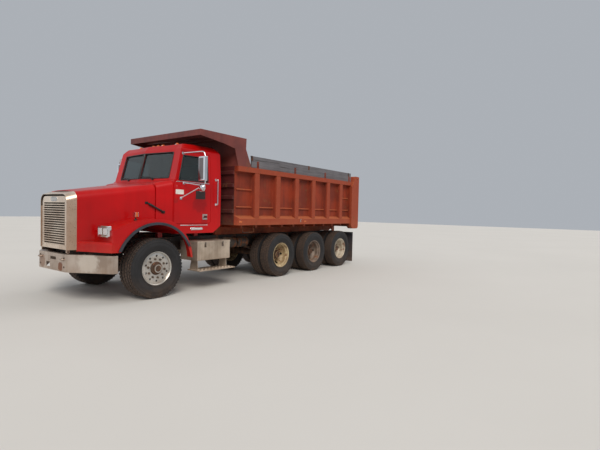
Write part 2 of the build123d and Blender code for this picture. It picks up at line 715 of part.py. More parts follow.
def door_mirror(side):
    """Tube frame on the door with a tall mirror head and a round one below it."""
    x, y = -790.0, 1400.0
    foot_x, high, low, brace = -640.0, 2655.0, 2090.0, 1800.0
    y_high, y_low = side_y(high) + 2, cab_side_y + touch
    frame = tube_path([(foot_x, y_high, high), (foot_x, y_high + 40, high), (x, y + 35, 2680),
                       (x, y + 75, 2560), (x, y + 75, 2080), (x, y, 2040), (foot_x, y_low + 40, low),
                       (foot_x, y_low, low)], [15, 60, 40, 40, 25, 15], 12)
    frame = frame + block(foot_x - 25, foot_x + 25, y_high - 0.2, y_high + 8, high - 22, high + 22)
    frame = frame + block(foot_x - 25, foot_x + 25, y_low, y_low + 8, low - 25, low + 25)
    frame = frame + rod((x, y, 2040), (-575, y_low + 10, brace), 9)
    frame = frame + block(-600, -550, y_low, y_low + 12, brace - 25, brace + 25)
    head = block(x - 40, x + 30, y - 95, y + 95, 2130, 2590)
    head = fillet(head.edges(), 14)
    arm_high = rod((x, y + 75, 2500), (x, y + 60, 2500), 12) + rod((x, y + 80, 2220), (x, y + 60, 2220), 12)
    spot = Pos(x + 5, y - 10, 2000) * (Rot(0, 90, 0) * Cylinder(75, 34))
    piece = frame + head + arm_high + spot
    return piece if side == 1 else mirror(piece, about=Plane.XZ)


def seats():
    """Two plain seat forms on their pedestals."""
    places = []
    floor = cab_floor_z + cab_wall
    for side in (1, -1):
        y = 520 * side
        seat = block(-1330, -830, y - 250, y + 250, 1520, 1660)
        seat = fillet(seat.edges(), 35)
        back = along_y([(-1330, 1600), (-1240, 1600), (-1400, 2330), (-1500, 2330)], y - 245, y + 245)
        back = fillet(back.edges().filter_by(Axis.Y), 25)
        base = block(-1260, -900, y - 180, y + 180, floor, 1540)
        places.append(seat + back + base)
    return places


def dashboard():
    """Instrument panel across the cab on a middle console."""
    y = cab_side_y - cab_wall - 8
    side = [(-470, 2100, 0), (-620, 2080, 40), (-700, 1900, 50), (-640, 1740, 30), (-470, 1700, 0)]
    console = block(-660, -530, -70, 70, cab_floor_z + cab_wall + touch, 1750)
    return rounded_along_y(side, -y, y) + console


def steering_wheel():
    """Rim, spokes and column, aimed at the driver."""
    centre = Vector(-850, 520, 1960)
    foot = Vector(-560, 520, 1660)
    plane = Plane(origin=centre, z_dir=centre - foot)
    ring = plane * Torus(225, 15)
    hub = plane * Cylinder(45, 40)
    wheel = ring + hub
    for angle in (90, 210, 330):
        direction = plane.x_dir * math.cos(math.radians(angle)) + plane.y_dir * math.sin(math.radians(angle))
        tip = centre + direction * 222
        wheel = wheel + rod((centre.X, centre.Y, centre.Z), (tip.X, tip.Y, tip.Z), 11)
    column = rod((centre.X, centre.Y, centre.Z), (foot.X, foot.Y, foot.Z), 26) - dashboard()
    column = column & block(-1200, -640, 300, 700, 1400, 2300)
    return wheel + column


def grab_handles():
    """Upright bars behind the doors."""
    x, low, high, reach, bar_r = -1450.0, 1690.0, 2215.0, cab_side_y + 62, 11
    bar = tube_path([(x, side_y(high - bar_r) + touch, high), (x, reach, high), (x, reach, low),
                     (x, cab_side_y + touch, low)], 25, bar_r)
    return both_sides(bar)


def hood_section(x, inset):
    """Upright section of the bonnet at x, with rounded shoulders and a crowned top."""
    share = (x - hood_rear_x) / (hood_nose_x - hood_rear_x)
    half = 885 + (545 - 885) * share - inset
    top = 2042 + (1845 - 2042) * share - inset
    crown, radius = 22.0, 135.0 - inset
    low = 850.0
    z = top - radius
    y = half - radius
    k = radius * math.sqrt(0.5)
    edges = [Line((x, -half, low), (x, half, low)), Line((x, half, low), (x, half, z)),
             ThreePointArc((x, half, z), (x, y + k, z + k), (x, y, top)),
             ThreePointArc((x, y, top), (x, 0, top + crown), (x, -y, top)),
             ThreePointArc((x, -y, top), (x, -y - k, z + k), (x, -half, z)),
             Line((x, -half, z), (x, -half, low))]
    return make_face(edges)


def fender_form(inset):
    """Both wings as one solid across the truck, before the middle is taken away."""
    i = inset
    front = wing_front_x - i
    edges = [Line((front, 0, 860 - i), (front, 0, 1215 - i)),
             ThreePointArc((front, 0, 1215 - i), (300, 0, 1393 - i), (-250, 0, 1378 - i)),
             ThreePointArc((-250, 0, 1378 - i), (i - 575, 0, 1130 - i), (i - 745, 0, 680 - i)),
             Polyline((i - 745, 0, 680 - i), (600, 0, 680 - i), (600, 0, 860 - i), (front, 0, 860 - i))]
    side = extrude(make_face(edges), 2 * (fender_y - i), dir=(0, 1, 0))
    side = Pos(0, i - fender_y, 0) * side
    plan = along_z([(985 - i, -500), (985 - i, 500), (842 - i, fender_y - i), (i - 800, fender_y - i),
                    (i - 800, i - fender_y), (842 - i, i - fender_y)], 600, 1500)
    return side & plan


def valance_form(inset):
    """Skirt between the grille's corner and the wheel arch, bevelled at its upper edge."""
    i = inset
    front = [(1100 - i, 545 - i), (865 - i, fender_y - i), (600, fender_y - i), (600, i - fender_y),
             (865 - i, i - fender_y), (1100 - i, i - 545)]
    back_y = fender_y - 20 - i
    back = [(1070 - i, 530 - i), (835 - i, back_y), (600, back_y), (600, -back_y), (835 - i, -back_y),
            (1070 - i, i - 530)]
    lower = along_z(front, 860 - i, 990 - i)
    low_face = make_face(Polyline(*[(x, y, 990 - i) for x, y in front], close=True))
    high_face = make_face(Polyline(*[(x, y, 1025 - i) for x, y in back], close=True))
    return lower + loft([low_face, high_face], ruled=True)


def hood_form(inset):
    body = loft([hood_section(hood_rear_x, inset), hood_section(hood_nose_x, inset)], ruled=True)
    return body + fender_form(inset) + valance_form(inset)


def hood():
    """Tilting bonnet with both wings, one moulding."""
    shell = hood_form(0) - hood_form(hood_wall)
    ends = [hood_section(hood_rear_x - 5, hood_wall), hood_section(hood_nose_x + 5, hood_wall)]
    shell = shell - loft(ends, ruled=True)
    well = cross_rod(arch_x, arch_z, -fender_y - 20, fender_y + 20, arch_r)
    shell = shell - well
    shell = shell - block(-900, 700, -fender_y - 20, fender_y + 20, 500, 679)
    shell = shell - block(-900, hood_rear_x, -cab_side_y - 15, cab_side_y + 15, 500, 2200)
    shell = shell - block(hood_nose_x - 300, hood_nose_x + 5, -470, 470, 800, 862)
    return shell


def fender_flares():
    """Rubber edges round the front arches."""
    outer = cross_rod(arch_x, arch_z, fender_y + touch, fender_y + flare_proud, arch_r + flare_width)
    ring = outer - cross_rod(arch_x, arch_z, fender_y - 5, fender_y + flare_proud + 5, arch_r)
    front, back = arch_x + 900, arch_x - 900
    keep = along_y([(front, 872), (front, 1500), (back, 1500), (back, arch_z + 330), (arch_x, arch_z + 330),
                    (arch_x, 872)], fender_y - 10, fender_y + 60)
    return both_sides(ring & keep)


def grille():
    """Bright nose shell with a framed panel of louvre blades and the bonnet's hinge ears."""
    wall = 8.0
    slot_half, slot_low, pitch, blades = 385.0, 955.0, 39.4, 18
    back, front = hood_nose_x + touch, grille_front_x

    def nose_section(x, half, top, inset):
        radius = 130.0 - inset
        side, high = half - inset, top - inset
        wire = FilletPolyline((x, -side, 880), (x, side, 880), (x, side, high), (x, -side, high),
                              radius=[0.5, 0.5, radius, radius], close=True)
        return make_face(wire)

    outer = loft([nose_section(back, 545, 1845, 0), nose_section(front, 480, 1800, 0)], ruled=True)
    ends = [nose_section(back - 1, 545, 1845, wall), nose_section(front + 1, 480, 1800, wall)]
    inner = loft(ends, ruled=True)
    inner_low = block(back - 2, front + 2, -537, 537, 870, 900) & (Pos(0, 0, -15) * inner)
    shell = outer - inner - inner_low + block(front - 40, front - 14, -462, 462, 880, 896)
    radius = 100.0
    panel = rounded_along_x([(-438, 885, 0.5), (438, 885, 0.5), (438, 1762, radius), (-438, 1762, radius)],
                            front - 30, front - 18)
    high = slot_low + blades * pitch
    panel = panel - block(front - 40, front, -slot_half, slot_half, slot_low, high)
    for post in both_sides(block(front - 60, front - 20, 435, 520, 885, 1600) & outer):
        panel = panel + post
    pieces = [shell, panel]
    for k in range(blades + 1):
        z = slot_low + k * pitch
        section = [(front - 16, z - 9), (front - 14, z - 6), (front - 14, z + 4), (front - 44, z + 14),
                   (front - 46, z + 11), (front - 22, z + 2)]
        pieces.append(along_y(section, -slot_half - 2, slot_half + 2))
    for side in (1, -1):
        y0, y1 = (450, 464) if side == 1 else (-464, -450)
        ear = block(hood_hinge_x - 26, hood_hinge_x + 26, y0, y1, hood_hinge_z, 884)
        ear = ear + cross_rod(hood_hinge_x, hood_hinge_z, y0, y1, 26)
        ear = ear - cross_rod(hood_hinge_x, hood_hinge_z, y0 - 1, y1 + 1, 12 + running)
        pieces.append(ear)
    return fuse(pieces)


def hood_hinges():
    """Arms from the rails to the pins that the bonnet tilts on."""
    arms = []
    for side in (1, -1):
        y0, y1 = (rail_outer_y, rail_outer_y + 12) if side == 1 else (-rail_outer_y - 12, -rail_outer_y)
        low, high = hood_hinge_z - 22, hood_hinge_z + 22
        arm = along_y([(1000, 815), (hood_hinge_x, low), (hood_hinge_x, high), (1000, 940)], y0, y1)
        arm = arm + cross_rod(hood_hinge_x, hood_hinge_z, y0, y1, 22)
        pin = (y1, y1 + 26) if side == 1 else (y0 - 26, y0)
        arm = arm + cross_rod(hood_hinge_x, hood_hinge_z, pin[0], pin[1], 12)
        arms.append(arm)
    return arms


def headlights():
    """Twin square lamps in a shared bezel on each wing's front."""
    bezel = block(wing_front_x + touch, 900, 822, 1146, 1112, 1292)
    bezel = fillet(bezel.edges().filter_by(Axis.X), 18)
    for y in (905.0, 1062.0):
        bezel = bezel - block(890, 905, y - 68, y + 68, 1136, 1268)
        bezel = bezel + block(885, 896, y - 60, y + 60, 1144, 1260)
    return both_sides(bezel)


def bed_floor():
    """Floor plate on cross bearers and two long sills that end in the hinge ears."""
    inner = bed_inner_y - touch
    front = bed_front_x - 8 - touch
    floor = block(bed_end_x, front, -inner, inner, bed_floor_z - 12, bed_floor_z)
    top = bed_floor_z - 12
    sill_out = rail_outer_y + moving
    for side in (1, -1):
        y0, y1 = (sill_out - sill_width, sill_out) if side == 1 else (-sill_out, sill_width - sill_out)
        notch = bed_hinge_x + 170
        sill = along_y([(bed_end_x, bed_hinge_z + 105), (notch, bed_hinge_z + 105), (notch + 40, sill_bottom_z),
                        (front - 60, sill_bottom_z), (front - 60, top), (bed_end_x, top)], y0, y1)
        e0, e1 = (sill_out, sill_out + 25) if side == 1 else (-sill_out - 25, -sill_out)
        ear = along_y([(bed_hinge_x - 60, bed_hinge_z), (bed_hinge_x + 60, bed_hinge_z),
                       (bed_hinge_x + 150, top), (bed_hinge_x - 50, top)], e0, e1)
        ear = ear + cross_rod(bed_hinge_x, bed_hinge_z, e0, e1, 60)
        ear = ear - cross_rod(bed_hinge_x, bed_hinge_z, e0 - 1, e1 + 1, hinge_pin_r + running)
        floor = floor + sill + ear
    bearers = 11
    for k in range(bearers):
        x = bed_front_x - 250 + (bed_end_x - bed_front_x + 435) * k / (bearers - 1)
        floor = floor + block(x - 35, x + 35, -inner, inner, top - 75, top)
    pin_x, pin_z = bed_hinge_x + hoist_eye[0], bed_hinge_z + hoist_eye[1]
    for ear in both_sides(along_y([(pin_x - 90, top), (pin_x - 40, pin_z - 45), (pin_x + 40, pin_z - 45),
                                   (pin_x + 90, top)], 82, 107)):
        floor = floor + ear
    return floor


def bed_side(side):
    """Side sheet with its skirt, top rail, ribs and rear post, pressed and welded as one wall."""
    y = bed_inner_y
    sheet_y = y + bed_sheet
    front = bed_front_x
    section = [(y, bed_bottom_z), (bed_rail_y, bed_bottom_z), (bed_rail_y, 1415), (sheet_y, 1478),
               (sheet_y, 2415), (bed_rail_y, 2432), (bed_rail_y, bed_top_z), (y, bed_top_z)]
    wall = along_x(section, bed_end_x, front)
    wall = wall - along_z([(front + 5, sheet_y), (front - 70, bed_rail_y + 5), (front + 5, bed_rail_y + 5)],
                          bed_bottom_z - 5, 1500)
    rib_y = bed_rail_y - 6
    for x in rib_xs:
        rib = [(x - 92, sheet_y - 2), (x - 70, rib_y), (x + 70, rib_y), (x + 92, sheet_y - 2)]
        wall = wall + along_z(rib, 1430, 2440)
    long_rib = [(sheet_y - 2, 1630), (sheet_y + 26, 1648), (sheet_y + 26, 1664), (sheet_y - 2, 1682)]
    wall = wall + along_x(long_rib, post_front_x, front - 40)
    for x0, x1, z in [(rib_xs[0], front - 45, 2040), (post_front_x, rib_xs[-1], 2016)]:
        wall = wall + along_x([(w, h + z - 1655) for w, h in long_rib], x0, x1)
    post = rounded_along_y([(post_front_x, post_bottom_z, 120), (-rear_reach, post_bottom_z, 90),
                            (-rear_reach, post_top_z, 30), (post_front_x - 180, post_top_z, 30),
                            (post_front_x - 120, 2560, 60), (post_front_x, 2400, 60)], y, post_y)
    wall = wall + post
    pin_y = y + 1
    hole = cross_rod(tailgate_hinge_x, tailgate_hinge_z, pin_y - 10, post_y + 10, 25 + running)
    wall = wall - hole
    for x in [board_front_x - 200, board_front_x - 1600, board_front_x - 3000, board_rear_x + 110]:
        wall = wall + block(x - 30, x + 30, y + 61, y + 71, bed_top_z - 5, 2700)
    return wall if side == 1 else mirror(wall, about=Plane.XZ)


def bed_front_wall():
    """Head sheet with stiffeners across its outer face."""
    y = bed_inner_y - touch
    front = bed_front_x
    wall = block(front - 8, front, -y, y, bed_bottom_z, bed_top_z)
    for z in (1570.0, 1867.0, 2123.0, 2400.0):
        rib = [(front - 1, z - 45), (front + 45, z - 30), (front + 45, z + 30), (front - 1, z + 45)]
        wall = wall + along_y(rib, -y, y)
    return wall


def cab_shield():
    """Roof-like shield over the cab, carried by gussets on the side rails and a raised head sheet."""
    side = [(-900, shield_top_z), (-900, 3030), (-1540, 2950), (-1830, 2890), (-1930, bed_top_z),
            (-2340, bed_top_z), (-2160, 2920), (-2170, shield_top_z)]
    wall = 10.0
    y = shield_y
    shield = block(-2170, -900, -y, y, shield_top_z - wall, shield_top_z)
    for gusset in both_sides(along_y(side, y - wall, y)):
        shield = shield + gusset
    shield = shield + block(-900 - wall, -900, -y, y, 3030, shield_top_z)
    shield = shield + block(-1938, -1930, -y, y, bed_top_z, shield_top_z)
    for x in (-1300.0, -1640.0):
        shield = shield + block(x - 25, x + 25, -y, y, shield_top_z - 70, shield_top_z - 5)
    return shield


def side_boards():
    """Planks on edge on the top rails."""
    y = bed_inner_y + 23
    return both_sides(block(board_rear_x, board_front_x, y, y + 38 - touch, bed_top_z + touch, 2805))


def tailgate():
    """Ribbed rear door, hung from pins at the top of the posts."""
    y = bed_inner_y - 10
    x = tailgate_x
    gate = block(x - 10, x, -y, y, bed_floor_z - 10, 2520)
    for z in (bed_floor_z + 50, 1720.0, 2100.0, 2460.0):
        gate = gate + block(x - 70, x - 5, -y, y, z - 55, z + 55)
    for rib_y in (-1010.0, -505.0, 0.0, 505.0, 1010.0):
        gate = gate + block(x - 60, x - 5, rib_y - 55, rib_y + 55, bed_floor_z, 2500)
    for side in (1, -1):
        y0, y1 = (y - 60, y - 25) if side == 1 else (25 - y, 60 - y)
        arm = along_y([(x - 70, 2440), (x, 2440), (tailgate_hinge_x + 35, tailgate_hinge_z),
                       (tailgate_hinge_x - 35, tailgate_hinge_z)], y0, y1)
        arm = arm + cross_rod(tailgate_hinge_x, tailgate_hinge_z, y0, y1, 38)
        pin_end = post_y - 12
        arm = arm + cross_rod(tailgate_hinge_x, tailgate_hinge_z, y0, pin_end if side == 1 else y1, 25)
        if side == -1:
            arm = arm + cross_rod(tailgate_hinge_x, tailgate_hinge_z, -pin_end, y0 + 5, 25)
        gate = gate + arm
    return gate


def hoist_points():
    foot = Vector(bed_hinge_x + hoist_base[0], 0, bed_hinge_z + hoist_base[1])
    eye = Vector(bed_hinge_x + hoist_eye[0], 0, bed_hinge_z + hoist_eye[1])
    return foot, eye, (eye - foot).normalized()


def at(origin, direction, distance):
    point = origin + direction * distance
    return (point.X, point.Y, point.Z)


def hoist_barrel():
    foot, eye, way = hoist_points()
    barrel = rod(at(foot, way, 90), at(foot, way, hoist_barrel_length), hoist_barrel_r)
    barrel = barrel - rod(at(foot, way, 140), at(foot, way, hoist_barrel_length - 80), hoist_rod_r + 20)
    barrel = barrel - rod(at(foot, way, 140), at(foot, way, hoist_barrel_length + 1), hoist_rod_r + running)
    lug = cross_rod(foot.X, foot.Z, -72, 72, 58) + rod(at(foot, way, 0), at(foot, way, 100), 50)
    return barrel + lug - cross_rod(foot.X, foot.Z, -90, 90, 30 + running)


def hoist_rod():
    foot, eye, way = hoist_points()
    length = (eye - foot).length
    bar = rod(at(foot, way, 180), at(foot, way, length - 30), hoist_rod_r)
    bar = bar + rod(at(foot, way, 160), at(foot, way, 220), hoist_rod_r + 15)
    return bar + cross_rod(eye.X, eye.Z, -72, 72, 58) - cross_rod(eye.X, eye.Z, -90, 90, 30)


def placed(wheel, x, side):
    """A left wheel's copy at x, on side 1 left or -1 right."""
    moved = Pos(x, 0, 0) * wheel
    return moved if side == 1 else mirror(moved, about=Plane.XZ)


def write(name, pieces):
    """Stores the solids of one node, shifted to mid-length."""
    if not isinstance(pieces, (list, tuple)):
        pieces = [pieces]
    solids = []
    for piece in pieces:
        solids.extend((Pos(frame_shift, 0, 0) * piece).solids())
    export_step(Compound(children=solids) if len(solids) > 1 else solids[0], f"parts/{name}.step")
    print(name, len(solids))


os.makedirs("parts", exist_ok=True)
write("frame_rails", rails())
write("crossmembers", crossmembers() + hood_hinges())
write("front_bumper", front_bumper())
write("radiator", radiator())
write("engine", engine())
write("drive_shafts", drive_shafts())
write("front_axle", front_axle())
write("leaf_springs", leaf_springs())
write("rear_axles", rear_axles())
write("fuel_tank", fuel_tank())
write("battery_box", battery_box())
write("side_steps", side_steps())
write("air_tanks", air_tanks())
write("muffler", muffler())
write("mud_flaps", mud_flaps())
write("cab_shell", cab_shell())
write("cab_glass", cab_glass())
write("seats", seats())
write("dashboard", dashboard())
write("steering_wheel", steering_wheel())
write("grab_handles", grab_handles())
write("hood", hood())
write("grille", grille())
write("headlights", headlights())
write("fender_flares", fender_flares())
write("bed_floor", bed_floor())
write("bed_front_wall", bed_front_wall())
write("cab_shield", cab_shield())
write("side_boards", side_boards())
write("tailgate", tailgate())
write("hoist_barrel", hoist_barrel())
write("hoist_rod", hoist_rod())
front_tyre = tyre(front_wheel_y, front_tyre_r, front_tyre_width, 2 * front_rim_half)
front_rim = front_wheel()
rear_tyres = [tyre(dual_mate_y + offset, rear_tyre_r, rear_tyre_width, 2 * rear_rim_half)
              for offset in (dual_spacing / 2, -dual_spacing / 2)]
rear_rims = rear_wheels()
for word, side in [("left", 1), ("right", -1)]:
    write(f"bed_side_{word}", bed_side(side))
    write(f"door_{word}", door(side))
    write(f"door_glass_{word}", door_glass(side))
    write(f"mirror_{word}", door_mirror(side))
    write(f"knuckle_{word}", knuckle(side))
    write(f"front_tyre_{word}", placed(front_tyre, 0, side))
    write(f"front_wheel_{word}", placed(front_rim, 0, side))
    for number, x in enumerate(rear_axle_xs, start=1):
        write(f"rear_tyres_{number}_{word}", [placed(one, x, side) for one in rear_tyres])
        write(f"rear_wheels_{number}_{word}", placed(rear_rims, x, side))
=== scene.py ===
import math
from contextlib import contextmanager
import bmesh
import bpy
from mathutils import Matrix, Vector
from mathutils.bvhtree import BVHTree


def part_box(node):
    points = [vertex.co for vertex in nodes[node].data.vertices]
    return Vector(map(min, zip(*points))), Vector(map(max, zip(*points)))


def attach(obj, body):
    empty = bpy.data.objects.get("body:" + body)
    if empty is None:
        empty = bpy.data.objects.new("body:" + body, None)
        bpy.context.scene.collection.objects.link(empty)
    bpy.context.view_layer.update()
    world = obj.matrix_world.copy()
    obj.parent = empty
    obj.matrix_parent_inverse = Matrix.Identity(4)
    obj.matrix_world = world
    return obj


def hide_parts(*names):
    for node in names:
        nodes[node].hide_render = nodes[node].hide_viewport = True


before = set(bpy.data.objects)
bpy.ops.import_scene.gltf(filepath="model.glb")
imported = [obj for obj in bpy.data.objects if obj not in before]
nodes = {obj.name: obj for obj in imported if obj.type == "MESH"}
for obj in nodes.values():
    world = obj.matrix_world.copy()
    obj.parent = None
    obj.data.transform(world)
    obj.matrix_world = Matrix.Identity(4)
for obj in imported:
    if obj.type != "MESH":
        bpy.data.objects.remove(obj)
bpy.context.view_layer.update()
SIDES = {"left": 1, "right": -1}
TURN = 2 * math.pi

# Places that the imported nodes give, in metres
axle_x = sum(v.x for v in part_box("front_wheel_left")) / 2
front_tyre_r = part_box("front_tyre_left")[1].z / 2
rear_tyre_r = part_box("rear_tyres_1_left")[1].z / 2


def ahead(x, y=0.0, z=0.0):
    """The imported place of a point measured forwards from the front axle, to the left and up."""
    return Vector((axle_x + x, y, z))


# Shader groups

def shader_group(name, inputs, outputs):
    tree = bpy.data.node_groups.new(name, "ShaderNodeTree")
    for label, value in inputs:
        socket = tree.interface.new_socket(label, in_out="INPUT", socket_type="NodeSocketFloat")
        socket.default_value = value
    for label, kind in outputs:
        tree.interface.new_socket(label, in_out="OUTPUT", socket_type=kind)
    return tree, tree.nodes.new("NodeGroupInput"), tree.nodes.new("NodeGroupOutput")


def add(tree, kind, settings=None, **links):
    """A node with its settings and its inputs, each a value or another node's output."""
    node = tree.nodes.new(kind)
    for key, value in (settings or {}).items():
        setattr(node, key, value)
    for key, value in links.items():
        numbered = key[0] == "i" and key[1:].isdigit()
        socket = node.inputs[int(key[1:])] if numbered else node.inputs[key.replace("_", " ")]
        if isinstance(value, bpy.types.NodeSocket):
            tree.links.new(value, socket)
        else:
            socket.default_value = value
    return node


def math_node(tree, operation, a, b=0.0, clamp=False):
    settings = {"operation": operation, "use_clamp": clamp}
    return add(tree, "ShaderNodeMath", settings, i0=a, i1=b).outputs[0]


def times(tree, a, b, clamp=False):
    return math_node(tree, "MULTIPLY", a, b, clamp)


def plus(tree, a, b, clamp=False):
    return math_node(tree, "ADD", a, b, clamp)


def minus(tree, a, b):
    return math_node(tree, "SUBTRACT", a, b)


def absolute(tree, a):
    return math_node(tree, "ABSOLUTE", a)


def noise(tree, vector, scale, detail, roughness=0.55):
    inputs = {"Vector": vector, "Scale": scale, "Detail": detail, "Roughness": roughness}
    return add(tree, "ShaderNodeTexNoise", {}, **inputs).outputs[0]


def between(tree, value, low, high):
    """0 below low, 1 above high."""
    return add(tree, "ShaderNodeMapRange", {}, Value=value, From_Min=low, From_Max=high).outputs[0]


def place(tree):
    return add(tree, "ShaderNodeTexCoord").outputs["Object"]


def split(tree, vector):
    """The three numbers of a place or a direction."""
    return add(tree, "ShaderNodeSeparateXYZ", {}, Vector=vector).outputs


def facing(tree, axis):
    return split(tree, add(tree, "ShaderNodeNewGeometry").outputs["Normal"])[axis]


def send(tree, gout, *values):
    for k, value in enumerate(values):
        tree.links.new(value, gout.inputs[k])


def build_groups():
    outputs = [("Broad", "NodeSocketFloat"), ("Fine", "NodeSocketFloat"), ("Streak", "NodeSocketFloat")]
    tree, gin, gout = shader_group("weathering", [("Scale", 1.0)], outputs)
    where = place(tree)
    broad = noise(tree, where, times(tree, gin.outputs[0], 1.7), 4.0)
    fine = noise(tree, where, times(tree, gin.outputs[0], 38.0), 7.0, 0.7)
    run = add(tree, "ShaderNodeMapping", {}, Vector=where, Scale=(9.0, 9.0, 0.7)).outputs[0]
    send(tree, gout, broad, fine, noise(tree, run, gin.outputs[0], 5.0, 0.65))

    tree, gin, gout = shader_group("edge_wear", [("Radius", 0.006), ("Amount", 1.0)],
                                   [("Mask", "NodeSocketFloat")])
    geometry = add(tree, "ShaderNodeNewGeometry")
    bevel = add(tree, "ShaderNodeBevel", {"samples": 4}, Radius=gin.outputs[0])
    same = add(tree, "ShaderNodeVectorMath", {"operation": "DOT_PRODUCT"}, i0=bevel.outputs[0],
               i1=geometry.outputs["Normal"])
    turn = between(tree, same.outputs["Value"], 0.995, 0.90)
    patchy = between(tree, noise(tree, place(tree), 23.0, 6.0, 0.7), 0.42, 0.62)
    send(tree, gout, times(tree, times(tree, turn, patchy), gin.outputs[1], True))

    inputs = [("Bottom", 0.0), ("Top", 1.2), ("Settled", 0.3)]
    tree, gin, gout = shader_group("dust_fall", inputs, [("Mask", "NodeSocketFloat")])
    where = place(tree)
    span = minus(tree, gin.outputs[1], gin.outputs[0])
    drop = minus(tree, gin.outputs[1], split(tree, where)[2])
    low = math_node(tree, "DIVIDE", drop, span, True)
    cloud = between(tree, noise(tree, where, 6.0, 8.0, 0.7), 0.30, 0.66)
    splash = times(tree, math_node(tree, "POWER", low, 1.5), cloud, True)
    flat = times(tree, between(tree, facing(tree, 2), 0.35, 0.95), gin.outputs[2])
    flat = times(tree, flat, between(tree, noise(tree, where, 11.0, 6.0), 0.34, 0.6))
    send(tree, gout, math_node(tree, "MAXIMUM", splash, flat, True))

    outputs = [("Mask", "NodeSocketFloat"), ("Color", "NodeSocketColor")]
    tree, gin, gout = shader_group("rust_spots", [("Scale", 5.0), ("Amount", 0.3)], outputs)
    where = place(tree)
    blotch = noise(tree, where, gin.outputs[0], 9.0, 0.72)
    edge = minus(tree, 0.72, times(tree, gin.outputs[1], 0.4))
    past = plus(tree, edge, 0.09)
    mask = add(tree, "ShaderNodeMapRange", {}, Value=blotch, From_Min=edge, From_Max=past).outputs[0]
    tone = add(tree, "ShaderNodeValToRGB", {}, Fac=noise(tree, where, 30.0, 6.0, 0.7))
    ends = tone.color_ramp.elements
    ends[0].position, ends[0].color = 0.3, (0.055, 0.018, 0.008, 1)
    ends[1].position, ends[1].color = 0.7, (0.26, 0.085, 0.028, 1)
    send(tree, gout, mask, tone.outputs[0])

    # A ragged patch round one place, for stains, scuffs and faded paint
    inputs = [("X", 0.0), ("Y", 0.0), ("Z", 0.0), ("Radius", 0.2)]
    tree, gin, gout = shader_group("local_patch", inputs, [("Mask", "NodeSocketFloat")])
    where = place(tree)
    centre = add(tree, "ShaderNodeCombineXYZ", {}, X=gin.outputs[0], Y=gin.outputs[1], Z=gin.outputs[2])
    far = add(tree, "ShaderNodeVectorMath", {"operation": "DISTANCE"}, i0=where, i1=centre.outputs[0])
    share = math_node(tree, "DIVIDE", far.outputs["Value"], gin.outputs[3])
    ragged = minus(tree, noise(tree, where, 14.0, 7.0, 0.7), 0.5)
    share = plus(tree, share, times(tree, ragged, 1.1))
    send(tree, gout, between(tree, share, 1.0, 0.72))


build_groups()
MATERIALS = {}


def rgb(r, g, b):
    """A colour given as it looks on screen, 0 to 255, as linear light."""
    return tuple((c / 255 / 12.92) if c <= 10 else ((c / 255 + 0.055) / 1.055) ** 2.4
                 for c in (r, g, b)) + (1.0,)


DUST = rgb(158, 124, 92)


def grouped(tree, name, **values):
    node = tree.nodes.new("ShaderNodeGroup")
    node.node_tree = bpy.data.node_groups[name]
    for key, value in values.items():
        node.inputs[key].default_value = value
    return node.outputs


def blend_colour(tree, factor, a, b):
    node = add(tree, "ShaderNodeMix", {"data_type": "RGBA"})
    for index, value in ((0, factor), (6, a), (7, b)):
        if isinstance(value, bpy.types.NodeSocket):
            tree.links.new(value, node.inputs[index])
        else:
            node.inputs[index].default_value = value
    return node.outputs[2]


def start_material(name, rough, metal=0.0, coat=0.0, **plain):
    material = bpy.data.materials.new(name)
    material.use_nodes = True
    tree = material.node_tree
    shader = tree.nodes["Principled BSDF"]
    shader.inputs["Roughness"].default_value = rough
    shader.inputs["Metallic"].default_value = metal
    shader.inputs["Coat Weight"].default_value = coat
    for key, value in plain.items():
        shader.inputs[key.replace("_", " ")].default_value = value
    MATERIALS[name] = material
    return tree, shader


def less(tree, share, whole):
    """A part of a whole that falls as the share rises."""
    return times(tree, minus(tree, 1.0, share), whole)


def surface(name, colour, other, rough, metal=0.0, coat=0.0, scale=1.0, contrast=(0.35, 0.65), streak=0.0,
            rust=0.0, rust_scale=5.0, edge=0.0, edge_colour=(0.5, 0.45, 0.4, 1), edge_radius=0.006,
            dust=(0.0, 1.2, 0.3), dust_share=0.8, dust_colour=DUST, bump=0.15, bump_depth=0.0015,
            rough_spread=0.15, extra=None, **plain):
    """A weathered finish: two tones, streaks, local changes, rust, worn edges, dust and an uneven skin."""
    tree, shader = start_material(name, rough, metal, coat, **plain)
    weather = grouped(tree, "weathering", Scale=scale)
    tone = between(tree, weather["Broad"], *contrast)
    if streak:
        run = times(tree, between(tree, weather["Streak"], 0.48, 0.68), streak)
        tone = plus(tree, tone, run, True)
    shade = blend_colour(tree, tone, colour, other)
    uneven = times(tree, minus(tree, weather["Fine"], 0.5), rough_spread * 2)
    gloss = plus(tree, uneven, rough, True)
    if extra:
        shade, gloss = extra(tree, shade, gloss)
    if rust:
        spots = grouped(tree, "rust_spots", Scale=rust_scale, Amount=rust)
        shade = blend_colour(tree, spots["Mask"], shade, spots["Color"])
        gloss = math_node(tree, "MAXIMUM", gloss, times(tree, spots["Mask"], 0.85))
    if edge:
        worn = grouped(tree, "edge_wear", Radius=edge_radius, Amount=edge)
        shade = blend_colour(tree, worn["Mask"], shade, edge_colour)
    if dust:
        fall = grouped(tree, "dust_fall", Bottom=dust[0], Top=dust[1], Settled=dust[2])
        share = times(tree, fall["Mask"], dust_share)
        shade = blend_colour(tree, share, shade, dust_colour)
        gloss = math_node(tree, "MAXIMUM", gloss, times(tree, share, 0.9))
        if metal:
            tree.links.new(less(tree, share, metal), shader.inputs["Metallic"])
        if coat:
            tree.links.new(less(tree, share, coat), shader.inputs["Coat Weight"])
    tree.links.new(shade, shader.inputs["Base Color"])
    tree.links.new(gloss, shader.inputs["Roughness"])
    skin_bump = add(tree, "ShaderNodeBump", {}, Strength=bump, Distance=bump_depth, Height=weather["Fine"])
    tree.links.new(skin_bump.outputs[0], shader.inputs["Normal"])
    return tree, shader


